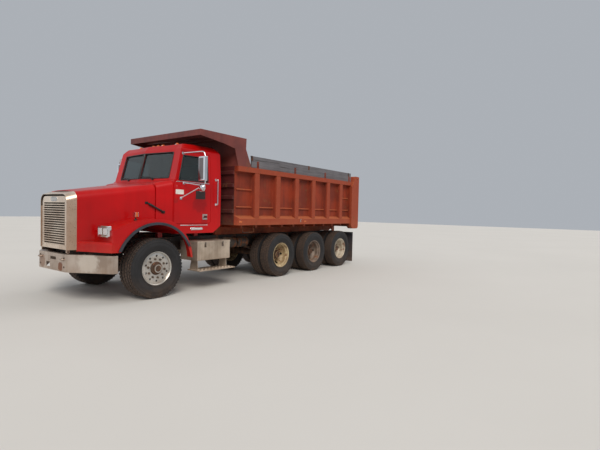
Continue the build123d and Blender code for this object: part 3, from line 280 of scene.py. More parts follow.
def patch(tree, shade, gloss, spot, radius, colour, share=1.0, rough=None):
    """Changes the colour, and the gloss if asked, round one place."""
    mask = grouped(tree, "local_patch", X=spot[0], Y=spot[1], Z=spot[2], Radius=radius)["Mask"]
    mask = times(tree, mask, share)
    if rough is not None:
        gloss = plus(tree, less(tree, mask, gloss), times(tree, mask, rough))
    return blend_colour(tree, mask, shade, colour), gloss


# Local changes of the finishes, each a function of the tree, its colour and its gloss

def cab_marks(tree, shade, gloss):
    """Darker paint under the sign on the left door, round its handle and at its front edge."""
    shade, gloss = patch(tree, shade, gloss, ahead(-1.03, 1.04, 1.70), 0.19, rgb(128, 4, 12), 0.45, 0.5)
    shade, gloss = patch(tree, shade, gloss, ahead(-1.17, 1.04, 1.36), 0.09, rgb(124, 8, 14), 0.35, 0.5)
    return patch(tree, shade, gloss, ahead(-0.47, 1.04, 1.75), 0.06, rgb(110, 30, 26), 0.35, 0.5)


def bed_tones(tree, shade, gloss):
    """Sheets darker than the ribs and rails, ledges scraped and dusty, the inside rubbed by loads."""
    parts = split(tree, place(tree))
    wide = absolute(tree, parts[1])
    cloud = between(tree, noise(tree, place(tree), 3.0, 7.0, 0.65), 0.30, 0.70)
    rib = between(tree, wide, 1.150, 1.185)
    shade = blend_colour(tree, times(tree, rib, 0.85), shade, rgb(142, 56, 30))
    pale = times(tree, rib, times(tree, cloud, 0.5))
    shade = blend_colour(tree, pale, shade, rgb(156, 72, 42))
    ledge = between(tree, facing(tree, 2), 0.30, 0.80)
    outside = between(tree, wide, 1.086, 1.092)
    ledge = times(tree, times(tree, ledge, outside), 0.75)
    shade = blend_colour(tree, ledge, shade, rgb(170, 88, 50))
    above = between(tree, parts[2], 1.286, 1.296)
    inward = less(tree, between(tree, wide, 1.080, 1.084), above)
    rubbed = times(tree, inward, plus(tree, 0.45, times(tree, cloud, 0.4)))
    return blend_colour(tree, rubbed, shade, rgb(96, 78, 68)), gloss


def canopy_wear(tree, shade, gloss):
    """Paler worn clouds over the maroon."""
    band = times(tree, between(tree, noise(tree, place(tree), 5.0, 8.0, 0.7), 0.55, 0.68), 0.5)
    return blend_colour(tree, band, shade, rgb(112, 56, 44)), gloss


def bumper_marks(tree, shade, gloss):
    """A rubbed round patch on the left corner, and two brown stains nearer the middle."""
    shade, gloss = patch(tree, shade, gloss, ahead(1.050, 0.822, 0.69), 0.20, rgb(206, 196, 184), 0.8, 0.62)
    shade, gloss = patch(tree, shade, gloss, ahead(1.25, 0.31, 0.60), 0.09, rgb(120, 62, 34), 0.8, 0.8)
    return patch(tree, shade, gloss, ahead(1.25, -0.36, 0.64), 0.12, rgb(128, 84, 56), 0.5, 0.8)


def tyre_tones(tree, shade, gloss):
    """Dusty tread and shoulders, with a cleaner and darker sidewall."""
    flat = absolute(tree, facing(tree, 1))
    tread = less(tree, between(tree, flat, 0.35, 0.75), 1.0)
    cloud = between(tree, noise(tree, place(tree), 9.0, 8.0, 0.75), 0.35, 0.65)
    share = times(tree, tread, plus(tree, 0.35, times(tree, cloud, 0.45)))
    return blend_colour(tree, share, shade, rgb(94, 75, 62)), gloss


def mirror_heads_painted_reflection(tree, shade, gloss):
    """The mirror heads are painted darker than their stays and their rims: a painted reflection of the dark
    ground.
    """
    parts = split(tree, place(tree))
    wide = absolute(tree, parts[1])
    across = times(tree, between(tree, wide, 1.315, 1.335),
                   less(tree, between(tree, wide, 1.445, 1.460), 1.0))
    upright = times(tree, between(tree, parts[2], 2.145, 2.170),
                    less(tree, between(tree, parts[2], 2.550, 2.575), 1.0))
    share = times(tree, times(tree, across, upright), 0.85)
    return blend_colour(tree, share, shade, rgb(78, 60, 55)), gloss


def nose_sides_painted_reflection(tree, shade, gloss):
    """The grille shell's sides, picked out by the way they face, are painted duller and browner than its
    front: a painted reflection of the brown ground.
    """
    side = between(tree, absolute(tree, facing(tree, 1)), 0.4, 0.9)
    return blend_colour(tree, times(tree, side, 0.7), shade, rgb(146, 114, 92)), gloss


surface("cab_red", rgb(188, 0, 4), rgb(154, 0, 3), 0.36, coat=0.22, scale=0.5, contrast=(0.3, 0.8),
        streak=0.3, dust=(0.45, 1.20, 0.14), dust_share=0.35, bump=0.04, rough_spread=0.08,
        Coat_Roughness=0.08, Specular_IOR_Level=0.2, edge=0.3, edge_colour=rgb(96, 24, 22),
        edge_radius=0.004, extra=cab_marks)
surface("bed_orange", rgb(142, 50, 22), rgb(108, 38, 20), 0.68, streak=0.6, rust=0.32, rust_scale=3.2,
        edge=0.5, edge_colour=rgb(196, 122, 78), dust=(1.0, 1.6, 0.35), dust_share=0.5,
        dust_colour=rgb(176, 110, 70), bump=0.3, extra=bed_tones, Specular_IOR_Level=0.35)
surface("canopy_maroon", rgb(118, 52, 44), rgb(90, 38, 34), 0.6, streak=0.5, rust=0.28, rust_scale=3.2,
        edge=0.5, edge_colour=rgb(176, 104, 84), dust=(2.2, 3.0, 0.5), dust_share=0.3,
        dust_colour=rgb(160, 100, 80), bump=0.25, extra=canopy_wear)
surface("front_wall_maroon", rgb(84, 22, 20), rgb(58, 18, 18), 0.68, streak=0.5, rust=0.35, rust_scale=4.0,
        edge=0.4, edge_colour=rgb(140, 72, 52), dust=(1.0, 2.0, 0.4), dust_share=0.35, bump=0.3)
surface("frame_black", rgb(40, 34, 31), rgb(24, 22, 22), 0.6, scale=1.5, rust=0.45, edge=0.3,
        edge_colour=rgb(110, 80, 60), dust=(0.0, 1.1, 0.45), dust_share=0.6)
surface("axle_iron", rgb(58, 44, 36), rgb(34, 28, 26), 0.75, metal=0.3, scale=2.0, rust=0.6,
        dust=(0.0, 1.2, 0.6), dust_share=0.8, bump=0.4)
surface("spring_steel", rgb(60, 45, 38), rgb(38, 31, 28), 0.6, metal=0.5, scale=3.0, rust=0.7,
        dust=(0.0, 1.2, 0.5), bump=0.3)
surface("worn_aluminium", rgb(206, 190, 172), rgb(160, 144, 128), 0.46, metal=0.7, scale=1.3, streak=0.35,
        edge=0.45, edge_colour=rgb(214, 206, 196), dust=(0.2, 1.1, 0.3), dust_share=0.55, bump=0.12)
surface("bumper_aluminium", rgb(196, 182, 170), rgb(158, 140, 126), 0.34, metal=0.8, scale=1.6, streak=0.4,
        edge=0.5, edge_colour=rgb(222, 212, 200), dust=(0.45, 0.85, 0.2), dust_share=0.35, bump=0.2,
        rust=0.10, rust_scale=7.0, extra=bumper_marks)
surface("satin_aluminium", rgb(205, 203, 198), rgb(172, 167, 160), 0.30, metal=0.85, scale=1.6, edge=0.3,
        edge_colour=rgb(232, 231, 228), dust=(0.1, 1.0, 0.2), dust_share=0.45, bump=0.08)
# Its sides carry a painted reflection of the brown ground
surface("nose_aluminium", rgb(226, 212, 196), rgb(190, 170, 152), 0.30, metal=0.6, scale=1.6, edge=0.3,
        edge_colour=rgb(236, 228, 218), dust=(0.7, 1.3, 0.2), dust_share=0.35, bump=0.08, extra=nose_sides_painted_reflection)
surface("chrome", rgb(225, 226, 228), rgb(200, 200, 204), 0.10, metal=1.0, scale=2.0, dust=(0.3, 1.6, 0.15),
        dust_share=0.3, bump=0.03, rough_spread=0.06)
# Chrome whose mirror heads carry a painted reflection of the dark ground
surface("mirror_steel", rgb(225, 226, 228), rgb(200, 200, 204), 0.12, metal=1.0, scale=2.0,
        dust=(0.3, 1.6, 0.15), dust_share=0.3, bump=0.03, rough_spread=0.06, extra=mirror_heads_painted_reflection)
surface("tyre_rubber", rgb(31, 29, 31), rgb(20, 20, 22), 0.74, scale=3.0, dust=(-0.1, 0.50, 0.15),
        dust_share=0.5, bump=0.35, dust_colour=rgb(118, 90, 66), extra=tyre_tones)
surface("dark_rubber", rgb(46, 50, 60), rgb(34, 37, 45), 0.6, scale=2.5, dust=(0.2, 1.4, 0.3),
        dust_share=0.3, bump=0.3)
surface("black_plastic", rgb(26, 26, 28), rgb(18, 18, 20), 0.45, scale=2.0, dust=(0.3, 1.6, 0.2),
        dust_share=0.3, bump=0.2)
for name, light_tone, dark_tone in [("rim_cream", rgb(196, 178, 140), rgb(150, 128, 94)),
                                    ("rim_grey", rgb(128, 112, 100), rgb(88, 76, 68)),
                                    ("rim_white", rgb(204, 196, 178), rgb(164, 150, 130))]:
    surface(name, light_tone, dark_tone, 0.55, scale=4.0, rust=0.45, rust_scale=9.0, dust=(0.0, 0.9, 0.4),
            dust_share=0.55)
surface("hoist_steel", rgb(150, 148, 145), rgb(96, 92, 90), 0.32, metal=0.9, scale=2.0,
        dust=(0.2, 1.2, 0.3))
surface("bolt_steel", rgb(128, 120, 112), rgb(82, 72, 64), 0.45, metal=0.8, scale=6.0, rust=0.4,
        rust_scale=20.0, dust=(0.0, 1.1, 0.3))
surface("hub_brown", rgb(66, 40, 28), rgb(40, 26, 20), 0.7, metal=0.2, scale=5.0, rust=0.5, rust_scale=16.0,
        dust=(0.0, 0.9, 0.3))
surface("plate_white", rgb(225, 222, 215), rgb(200, 192, 180), 0.5, scale=3.0, dust=(0.3, 2.2, 0.1),
        dust_share=0.3, bump=0.05)
surface("plate_black", rgb(30, 16, 18), rgb(44, 18, 20), 0.5, scale=7.0, dust=(0.3, 2.2, 0.1),
        dust_share=0.3, bump=0.05)
surface("floor_mat", rgb(44, 42, 42), rgb(30, 29, 30), 0.85, scale=4.0, dust=(1.0, 2.2, 0.5), bump=0.4)
surface("trim_grey", rgb(92, 90, 92), rgb(76, 74, 78), 0.7, scale=4.0, dust=(1.0, 2.6, 0.3), dust_share=0.4,
        bump=0.3)


def wood_material():
    """Grey boards with a long grain and cracks along it."""
    tree, shader = surface("grey_wood", rgb(92, 90, 94), rgb(68, 66, 70), 0.8, scale=1.2, dust=None,
                           bump=0.2)
    along = add(tree, "ShaderNodeMapping", {}, Vector=place(tree), Scale=(0.6, 18.0, 26.0)).outputs[0]
    grain = noise(tree, along, 2.2, 8.0, 0.65)
    crack = between(tree, noise(tree, along, 1.1, 3.0), 0.60, 0.66)
    old = shader.inputs["Base Color"].links[0].from_socket
    shade = blend_colour(tree, between(tree, grain, 0.35, 0.7), old, rgb(112, 109, 112))
    shade = blend_colour(tree, crack, shade, rgb(52, 47, 47))
    tree.links.new(shade, shader.inputs["Base Color"])
    rise = minus(tree, grain, crack)
    lumps = add(tree, "ShaderNodeBump", {}, Strength=0.6, Distance=0.004, Height=rise)
    tree.links.new(lumps.outputs[0], shader.inputs["Normal"])


def glass_material(name, tint, rough, through, metal=0.0):
    """Window or mirror glass with a haze of streaks and a little dust."""
    tree, shader = start_material(name, rough, metal, 0.0, Transmission_Weight=through, IOR=1.45)
    smear = grouped(tree, "weathering", Scale=1.4)
    fall = grouped(tree, "dust_fall", Bottom=1.9, Top=2.9, Settled=0.2)
    shade = blend_colour(tree, times(tree, fall["Mask"], 0.12), tint, DUST)
    tree.links.new(shade, shader.inputs["Base Color"])
    haze = times(tree, between(tree, smear["Streak"], 0.4, 0.75), 0.10)
    tree.links.new(plus(tree, haze, rough), shader.inputs["Roughness"])


def lens_material(name, colour):
    """Ribbed lamp glass or plastic."""
    tree, shader = start_material(name, 0.12, 0.0, 0.6, Transmission_Weight=0.35, IOR=1.5)
    ribs = add(tree, "ShaderNodeTexWave", {"wave_type": "BANDS", "bands_direction": "Y"},
               Vector=place(tree), Scale=38.0, Distortion=0.3)
    cloud = grouped(tree, "weathering", Scale=6.0)
    shade = blend_colour(tree, times(tree, cloud["Fine"], 0.3), colour, DUST)
    tree.links.new(shade, shader.inputs["Base Color"])
    lumps = add(tree, "ShaderNodeBump", {}, Strength=0.35, Distance=0.002, Height=ribs.outputs["Fac"])
    tree.links.new(lumps.outputs[0], shader.inputs["Normal"])


def cloth_material():
    """Seat cloth with a fine weave."""
    tree, shader = surface("seat_cloth", rgb(66, 64, 68), rgb(48, 47, 52), 0.9, scale=3.0,
                           dust=(1.0, 2.4, 0.3), dust_share=0.3, bump=0.1, Sheen_Weight=0.4)
    where = place(tree)
    weave = [add(tree, "ShaderNodeTexWave", {"bands_direction": way}, Vector=where, Scale=160.0,
                 Distortion=0.6).outputs["Fac"] for way in ("X", "Z")]
    lumps = add(tree, "ShaderNodeBump", {}, Strength=0.5, Distance=0.001,
                Height=times(tree, *weave))
    tree.links.new(lumps.outputs[0], shader.inputs["Normal"])


def mesh_material():
    """Dark insect screen behind the louvres, woven in fine wires."""
    tree, shader = surface("screen_mesh", rgb(16, 15, 15), rgb(8, 8, 9), 0.8, scale=4.0,
                           dust=(0.8, 1.8, 0.1), dust_share=0.3)
    where = place(tree)
    wires = [add(tree, "ShaderNodeTexWave", {"bands_direction": way}, Vector=where,
                 Scale=90.0).outputs["Fac"] for way in ("Y", "Z")]
    lumps = add(tree, "ShaderNodeBump", {}, Strength=0.8, Distance=0.002,
                Height=math_node(tree, "MAXIMUM", *wires))
    tree.links.new(lumps.outputs[0], shader.inputs["Normal"])


wood_material()
glass_material("tinted_glass", rgb(112, 130, 132), 0.03, 0.92)
glass_material("mirror_face", rgb(190, 200, 205), 0.03, 0.0, 1.0)
lens_material("lens_clear", rgb(235, 238, 240))
lens_material("lens_amber", rgb(240, 110, 20))
lens_material("lens_red", rgb(190, 14, 14))
cloth_material()
mesh_material()

NODE_MATERIALS = {
    "frame_black": ["frame_rails", "crossmembers", "air_tanks", "muffler", "radiator"],
    "axle_iron": ["engine", "drive_shafts", "front_axle", "rear_axles", "knuckle_left", "knuckle_right"],
    "spring_steel": ["leaf_springs"],
    "bumper_aluminium": ["front_bumper"],
    "worn_aluminium": ["fuel_tank", "battery_box", "side_steps"],
    "nose_aluminium": ["grille"],
    "satin_aluminium": ["front_wheel_left", "front_wheel_right"],
    "chrome": ["grab_handles", "headlights"],
    "mirror_steel": ["mirror_left", "mirror_right"],
    "cab_red": ["cab_shell", "hood", "door_left", "door_right"],
    "tinted_glass": ["cab_glass", "door_glass_left", "door_glass_right"],
    "black_plastic": ["dashboard", "steering_wheel"],
    "seat_cloth": ["seats"],
    "dark_rubber": ["mud_flaps", "fender_flares"],
    "bed_orange": ["bed_floor", "bed_side_left", "bed_side_right", "tailgate"],
    "canopy_maroon": ["cab_shield"],
    "front_wall_maroon": ["bed_front_wall"],
    "grey_wood": ["side_boards"],
    "hoist_steel": ["hoist_barrel", "hoist_rod"],
    "rim_cream": ["rear_wheels_1_left", "rear_wheels_1_right"],
    "rim_grey": ["rear_wheels_2_left", "rear_wheels_2_right"],
    "rim_white": ["rear_wheels_3_left", "rear_wheels_3_right"],
}
for material_name, names in NODE_MATERIALS.items():
    for name in names:
        mesh = nodes[name].data
        mesh.materials.clear()
        mesh.materials.append(MATERIALS[material_name])


# Making pieces

def finish_piece(name, bm, body, material, smooth=0.6, stands_for=(), tidy=True):
    """Turns a bmesh into a finished piece that rides on a body."""
    if tidy:
        bmesh.ops.remove_doubles(bm, verts=bm.verts, dist=1e-5)
        bmesh.ops.recalc_face_normals(bm, faces=bm.faces)
    mesh = bpy.data.meshes.new(name)
    bm.to_mesh(mesh)
    bm.free()
    made = bpy.data.objects.new(name, mesh)
    bpy.context.scene.collection.objects.link(made)
    mesh.materials.append(MATERIALS[material])
    mesh.shade_smooth()
    mesh.set_sharp_from_angle(angle=smooth)
    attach(made, body)
    if stands_for:
        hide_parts(*stands_for)
    return made


@contextmanager
def new_piece(name, body, material, smooth=0.6, stands_for=()):
    """Hands out a bmesh to fill, then finishes it as a piece."""
    bm = bmesh.new()
    yield bm
    finish_piece(name, bm, body, material, smooth, stands_for)


def bevel_edges(bm, edges, width, segments=2):
    bmesh.ops.bevel(bm, geom=list(edges), affect="EDGES", offset=width, segments=segments, profile=0.5,
                    material=-1, clamp_overlap=True)


def slab(bm, low, high, bevel=0.002, segments=2):
    """A box between two corners, with softened edges."""
    low, high = Vector(low), Vector(high)
    size = high - low
    matrix = Matrix.Translation((low + high) / 2) @ Matrix.Diagonal((abs(size.x), abs(size.y), abs(size.z),
                                                                     1))
    verts = bmesh.ops.create_cube(bm, size=1, matrix=matrix)["verts"]
    if bevel:
        bevel_edges(bm, {e for v in verts for e in v.link_edges}, bevel, segments)


def aim(start, end):
    """Matrix that takes a piece along Z, centred on the origin, to the line between two points."""
    start, end = Vector(start), Vector(end)
    turn = (end - start).to_track_quat("Z", "Y").to_matrix().to_4x4()
    return Matrix.Translation((start + end) / 2) @ turn


def bar(bm, start, end, radius, sides=16, bevel=0.0, end_radius=None):
    """A round or many-sided bar between two points."""
    start, end = Vector(start), Vector(end)
    way = (end - start).normalized()
    radius2 = radius if end_radius is None else end_radius
    verts = bmesh.ops.create_cone(bm, cap_ends=True, segments=sides, radius1=radius, radius2=radius2,
                                  depth=(end - start).length, matrix=aim(start, end))["verts"]
    if bevel:
        rims = {e for v in verts for e in v.link_edges
                if abs((e.verts[0].co - e.verts[1].co).normalized().dot(way)) < 0.3}
        bevel_edges(bm, rims, bevel)


def post(bm, where, low, high, radius, sides=16, bevel=0.0):
    """A bar on a place's own z, between two heights above it."""
    bar(bm, where @ Vector((0, 0, low)), where @ Vector((0, 0, high)), radius, sides, bevel)


def turned(bm, outline, centre, axis, across, steps=48):
    """Spins a (radius, along) outline about an axis through centre."""
    axis, across, centre = Vector(axis).normalized(), Vector(across).normalized(), Vector(centre)
    verts = [bm.verts.new(centre + across * r + axis * a) for r, a in outline]
    edges = [bm.edges.new(pair) for pair in zip(verts, verts[1:])]
    bmesh.ops.spin(bm, geom=verts + edges, cent=centre, axis=axis, dvec=(0, 0, 0), angle=TURN, steps=steps,
                   use_merge=True, use_duplicate=False)


def put(bm, part, *wheres):
    """Adds copies of a small part, each moved by a matrix, and lets the part go."""
    for where in wheres:
        mesh = bpy.data.meshes.new("part")
        part.to_mesh(mesh)
        mesh.transform(where)
        bm.from_mesh(mesh)
        bpy.data.meshes.remove(mesh)
    part.free()


def plate(bm, where, width, height, thick, corner=0.01, bevel=0.0015):
    """A plate with round corners, flat on a place's own x and y."""
    part = bmesh.new()
    bmesh.ops.create_cube(part, size=1, matrix=Matrix.Diagonal((width, height, thick, 1)))
    bmesh.ops.translate(part, vec=(0, 0, thick / 2), verts=part.verts)
    bevel_edges(part, [e for e in part.edges if abs(e.verts[0].co.z - e.verts[1].co.z) > thick / 2], corner,
                4)
    rim = [e for e in part.edges if min(v.co.z for v in e.verts) > thick * 0.9]
    bevel_edges(part, [e for e in rim if len({round(f.normal.z, 1) for f in e.link_faces}) > 1], bevel, 1)
    put(bm, part, where)


def bolt(bm, where, size=0.012, washer=True):
    """A hexagon bolt head on its washer, standing on a place's own z."""
    part = bmesh.new()
    if washer:
        bar(part, (0, 0, -0.001), (0, 0, size * 0.16), size * 1.15, 14)
    bar(part, (0, 0, 0), (0, 0, size * 0.75), size * 0.8, 6, size * 0.1)
    put(bm, part, where)


def dome(bm, where, radius, height, steps=24):
    """A shallow round lens or cap on a place's own z."""
    part = bmesh.new()
    bmesh.ops.create_uvsphere(part, u_segments=steps, v_segments=12, radius=radius)
    bmesh.ops.bisect_plane(part, geom=part.verts[:] + part.edges[:] + part.faces[:], plane_co=(0, 0, 0),
                           plane_no=(0, 0, -1), clear_outer=True)
    bmesh.ops.scale(part, vec=(1, 1, height / radius), verts=part.verts)
    rim = [e for e in part.edges if e.is_boundary]
    low = bmesh.ops.extrude_edge_only(part, edges=rim)["geom"]
    bmesh.ops.translate(part, vec=(0, 0, -0.003), verts=[g
                                                         for g in low if isinstance(g, bmesh.types.BMVert)])
    put(bm, part, where)


TREES = {}


def skin(node, start, way):
    """Where a line from start meets a node's surface, and the way that surface faces, against the line."""
    if node not in TREES:
        whole = bmesh.new()
        whole.from_mesh(nodes[node].data)
        TREES[node] = BVHTree.FromBMesh(whole)
        whole.free()
    spot, normal = TREES[node].ray_cast(Vector(start), Vector(way))[:2]
    if spot is None:
        raise ValueError(f"no surface of {node} from {tuple(start)} along {tuple(way)}")
    return spot, normal if normal.dot(Vector(way)) < 0 else -normal


def frame_at(spot, out, up=(0, 0, 1)):
    """A place's own frame: x across, y up along the surface, z out of it."""
    out = Vector(out).normalized()
    across = Vector(up).cross(out).normalized()
    rise = out.cross(across)
    return Matrix.Translation(spot) @ Matrix((across, rise, out)).transposed().to_4x4()


def to_front(x, y, z):
    return frame_at(ahead(x, y, z), (1, 0, 0))


def to_back(x, y, z):
    return frame_at(ahead(x, y, z), (-1, 0, 0))


def side_frame(x, y, z, side):
    """The frame of a place on the truck's left or right, facing out."""
    return frame_at(ahead(x, side * y, z), (0, side, 0))


def moved(where, x, y, z):
    """A frame moved along its own three ways."""
    return where @ Matrix.Translation((x, y, z))


def seat(node, start, way, up=(0, 0, 1), lift=0.0):
    """The frame where a line from start meets a node."""
    spot, out = skin(node, start, way)
    return frame_at(spot + out * lift, out, up)


def at_side(node, x, z, side, up=(0, 0, 1), lift=0.0):
    """The frame on a node's outer face at a length and a height, from the left or the right."""
    clear_of_truck = 1.9
    return seat(node, ahead(x, side * clear_of_truck, z), (0, -side, 0), up, lift)


def pipe(name, points, radius, body, material, closed=False, smooth_path=True):
    """A round bead or pipe through points, its corners rounded off by its spline."""
    curve = bpy.data.curves.new(name, "CURVE")
    curve.dimensions = "3D"
    curve.bevel_depth = radius
    curve.bevel_resolution = 2
    curve.use_fill_caps = not closed
    spline = curve.splines.new("NURBS" if smooth_path else "POLY")
    spline.points.add(len(points) - 1)
    for point, spot in zip(spline.points, points):
        point.co = (*spot, 1)
    spline.use_cyclic_u = closed
    if smooth_path:
        spline.order_u = 3
        spline.use_endpoint_u = not closed
        curve.resolution_u = 5
    made = bpy.data.objects.new(name, curve)
    bpy.context.scene.collection.objects.link(made)
    curve.materials.append(MATERIALS[material])
    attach(made, body)


def eased(corners, reach):
    """A closed run of corners, each with a point before and after it, so that a spline rounds it."""
    points = []
    corners = [Vector(c) for c in corners]
    for k, corner in enumerate(corners):
        before, after = corners[k - 1], corners[(k + 1) % len(corners)]
        points += [corner + (before - corner).normalized() * reach, corner,
                   corner + (after - corner).normalized() * reach]
    return points


def ring_of(count, radius, centre, first=0.0):
    """Points on an upright circle round an axle."""
    for k in range(count):
        angle = first + TURN * k / count
        yield Vector((centre[0] + radius * math.cos(angle), centre[1],
                      centre[2] + radius * math.sin(angle)))


# Tyres and wheels

# Blocks of one pitch: offset from the middle, width, share of the pitch, lean, and shift round the tyre
STEER_BLOCKS = [(-0.118, 0.040, 0.80, 0.12, 0.0), (-0.040, 0.062, 0.84, -0.15, 0.5),
                (0.040, 0.062, 0.84, 0.15, 0.0), (0.118, 0.040, 0.80, -0.12, 0.5),
                (-0.160, 0.034, 0.62, 0.0, 0.25), (0.160, 0.034, 0.62, 0.0, 0.75)]
DRIVE_BLOCKS = [(-0.032, 0.052, 0.66, 0.35, 0.0), (0.032, 0.052, 0.66, -0.35, 0.5),
                (-0.094, 0.060, 0.58, -0.18, 0.5), (0.094, 0.060, 0.58, 0.18, 0.0)]

# Twin tyre's width, studs' circle, the front tyre's middle plane and the plane where twin rims are bolted
TWIN_WIDTH = 0.279
STUD_CIRCLE = 0.1675
FRONT_TYRE_Y = 0.997
TWIN_MATE_Y = 0.875


def tyre_form(radius, width, rim_half, pitches, blocks):
    """A tyre about the origin, its outer side to +Y: carcass with sidewall rings, and tread blocks."""
    bm = bmesh.new()
    half, depth, bore = width / 2, 0.016, 0.2865
    crown = radius - depth
    wall = [(bore, rim_half - 0.016), (bore, rim_half - 0.002), (0.302, rim_half - 0.001),
            (0.318, rim_half + 0.004), (0.324, rim_half + 0.011), (0.332, rim_half + 0.009),
            (0.36, half - 0.014), (0.40, half - 0.003), (0.408, half - 0.0005), (0.418, half - 0.001),
            (0.43, half - 0.005), (0.462, half - 0.009), (0.466, half - 0.006), (0.474, half - 0.007),
            (0.478, half - 0.011), (radius - 0.032, half - 0.017), (radius - 0.02, half - 0.022),
            (crown - 0.004, half - 0.04), (crown, half - 0.06)]
    outline = wall + [(crown + 0.003, 0.0)] + [(r, -a) for r, a in reversed(wall)]
    turned(bm, outline + [outline[0]], (0, 0, 0), (0, 1, 0), (1, 0, 0), 72)
    bmesh.ops.remove_doubles(bm, verts=bm.verts, dist=1e-5)
    bmesh.ops.recalc_face_normals(bm, faces=bm.faces)
    pitch = TURN / pitches
    row = bmesh.new()
    for offset, block_width, share, lean, shift in blocks:
        top = radius - (0.001 if abs(offset) < half - 0.06 else 0.006)
        part = bmesh.new()
        bmesh.ops.create_cube(part, size=1, matrix=Matrix.Diagonal((pitch * radius * share, block_width,
                                                                    0.028, 1)))
        bevel_edges(part, [e for e in part.edges if min(v.co.z for v in e.verts) > 0], 0.003, 1)
        bmesh.ops.delete(part, geom=[f for f in part.faces if f.normal.z < -0.9], context="FACES_ONLY")
        turn = Matrix.Rotation(pitch * shift, 4, "Y") @ Matrix.Translation((0, offset, top - 0.014))
        put(row, part, turn @ Matrix.Rotation(lean, 4, "Z"))
    geom = row.verts[:] + row.edges[:] + row.faces[:]
    bmesh.ops.spin(row, geom=geom, cent=(0, 0, 0), axis=(0, 1, 0), dvec=(0, 0, 0), angle=TURN - pitch,
                   steps=pitches - 1, use_duplicate=True)
    put(bm, row, Matrix())
    return bm


def placed_form(form, centre, side):
    """A copy of a left wheel's form, turned round for the right."""
    copy = form.copy()
    turn = Matrix() if side == 1 else Matrix.Rotation(math.pi, 4, "Z")
    bmesh.ops.transform(copy, matrix=Matrix.Translation(centre) @ turn, verts=copy.verts)
    return copy


def tyres():
    low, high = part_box("front_tyre_left")
    steer = tyre_form(front_tyre_r, high.y - low.y, 0.1555, 52, STEER_BLOCKS)
    single = tyre_form(rear_tyre_r, TWIN_WIDTH, 0.1048, 46, DRIVE_BLOCKS)
    low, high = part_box("rear_tyres_1_left")
    apart = (high.y - low.y - TWIN_WIDTH) / 2
    twin = bmesh.new()
    put(twin, single, Matrix.Translation((0, apart, 0)), Matrix.Translation((0, -apart, 0)))
    for word, side in SIDES.items():
        low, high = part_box(f"front_tyre_{word}")
        finish_piece(f"front_tread_tyre_{word}", placed_form(steer, (low + high) / 2, side),
                     f"front_wheel_assembly_{word}", "tyre_rubber", 0.5, [f"front_tyre_{word}"], False)
        for k in (1, 2, 3):
            low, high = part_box(f"rear_tyres_{k}_{word}")
            finish_piece(f"rear_tread_tyres_{k}_{word}", placed_form(twin, (low + high) / 2, side),
                         f"rear_wheel_pair_{k}_{word}", "tyre_rubber", 0.5, [f"rear_tyres_{k}_{word}"],
                         False)
    steer.free()
    twin.free()


def stud_nut(bm, spot, out):
    """A wheel nut on its washer with the stud's end standing out of it."""
    bar(bm, spot - out * 0.002, spot + out * 0.004, 0.023, 16)
    bar(bm, spot, spot + out * 0.024, 0.0175, 6, 0.003)
    bar(bm, spot + out * 0.022, spot + out * 0.036, 0.010, 10, 0.001)


def wheel_fittings():
    """Wheel nuts, hub caps and the front wheels' valve stems."""
    for word, side in SIDES.items():
        out = Vector((0, side, 0))
        low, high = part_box(f"front_wheel_{word}")
        centre = (low + high) / 2
        centre.y = side * FRONT_TYRE_Y
        with new_piece(f"front_wheel_nuts_{word}", f"front_wheel_assembly_{word}", "bolt_steel") as bm:
            for p in ring_of(10, STUD_CIRCLE, centre + out * 0.136, 0.15):
                stud_nut(bm, p, out)
        with new_piece(f"front_hub_{word}", f"front_wheel_assembly_{word}", "hub_brown") as bm:
            turned(bm, [(0.0, 0.200), (0.045, 0.200), (0.056, 0.196), (0.062, 0.188), (0.078, 0.184),
                        (0.084, 0.176), (0.084, 0.16), (0.104, 0.156), (0.112, 0.15), (0.118, 0.139),
                        (0.118, 0.13)], centre, out, (1, 0, 0), 40)
            for p in ring_of(6, 0.073, centre + out * 0.182):
                bar(bm, p, p + out * 0.008, 0.0065, 6, 0.001)
        valve = [centre + out * 0.14 + Vector((0.235, 0, 0.06)),
                 centre + out * 0.165 + Vector((0.228, 0, 0.06)), centre + out * 0.17 + Vector((0.200, 0,
                                                                                                0.05))]
        pipe(f"front_valve_{word}", valve, 0.004, f"front_wheel_assembly_{word}", "bolt_steel")
        for k in (1, 2, 3):
            low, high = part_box(f"rear_wheels_{k}_{word}")
            mate = Vector(((low.x + high.x) / 2, side * TWIN_MATE_Y, rear_tyre_r))
            with new_piece(f"rear_wheel_nuts_{k}_{word}", f"rear_wheel_pair_{k}_{word}",
                           "bolt_steel") as bm:
                for p in ring_of(10, STUD_CIRCLE, mate + out * 0.011, 0.31):
                    stud_nut(bm, p, out)
            with new_piece(f"rear_hub_{k}_{word}", f"rear_wheel_pair_{k}_{word}", "hub_brown") as bm:
                turned(bm, [(0.0, 0.171), (0.060, 0.171), (0.076, 0.168), (0.082, 0.160), (0.082, 0.132),
                            (0.108, 0.129), (0.114, 0.122), (0.114, 0.112)], mate, out, (1, 0, 0), 40)
                for p in ring_of(8, 0.096, mate + out * 0.128):
                    bar(bm, p, p + out * 0.012, 0.008, 6, 0.002)


# Cab, doors and bonnet

def screen_x(y, z):
    """How far ahead the windscreen's outer surface stands, in two halves that meet in a ridge."""
    return -0.452 - (z - 2.150) * 0.152 / 0.595 + 0.1 * (1 - abs(y) / 0.83)


def on_screen(y, z, proud=0.0):
    return ahead(screen_x(y, z) + proud, y, z)


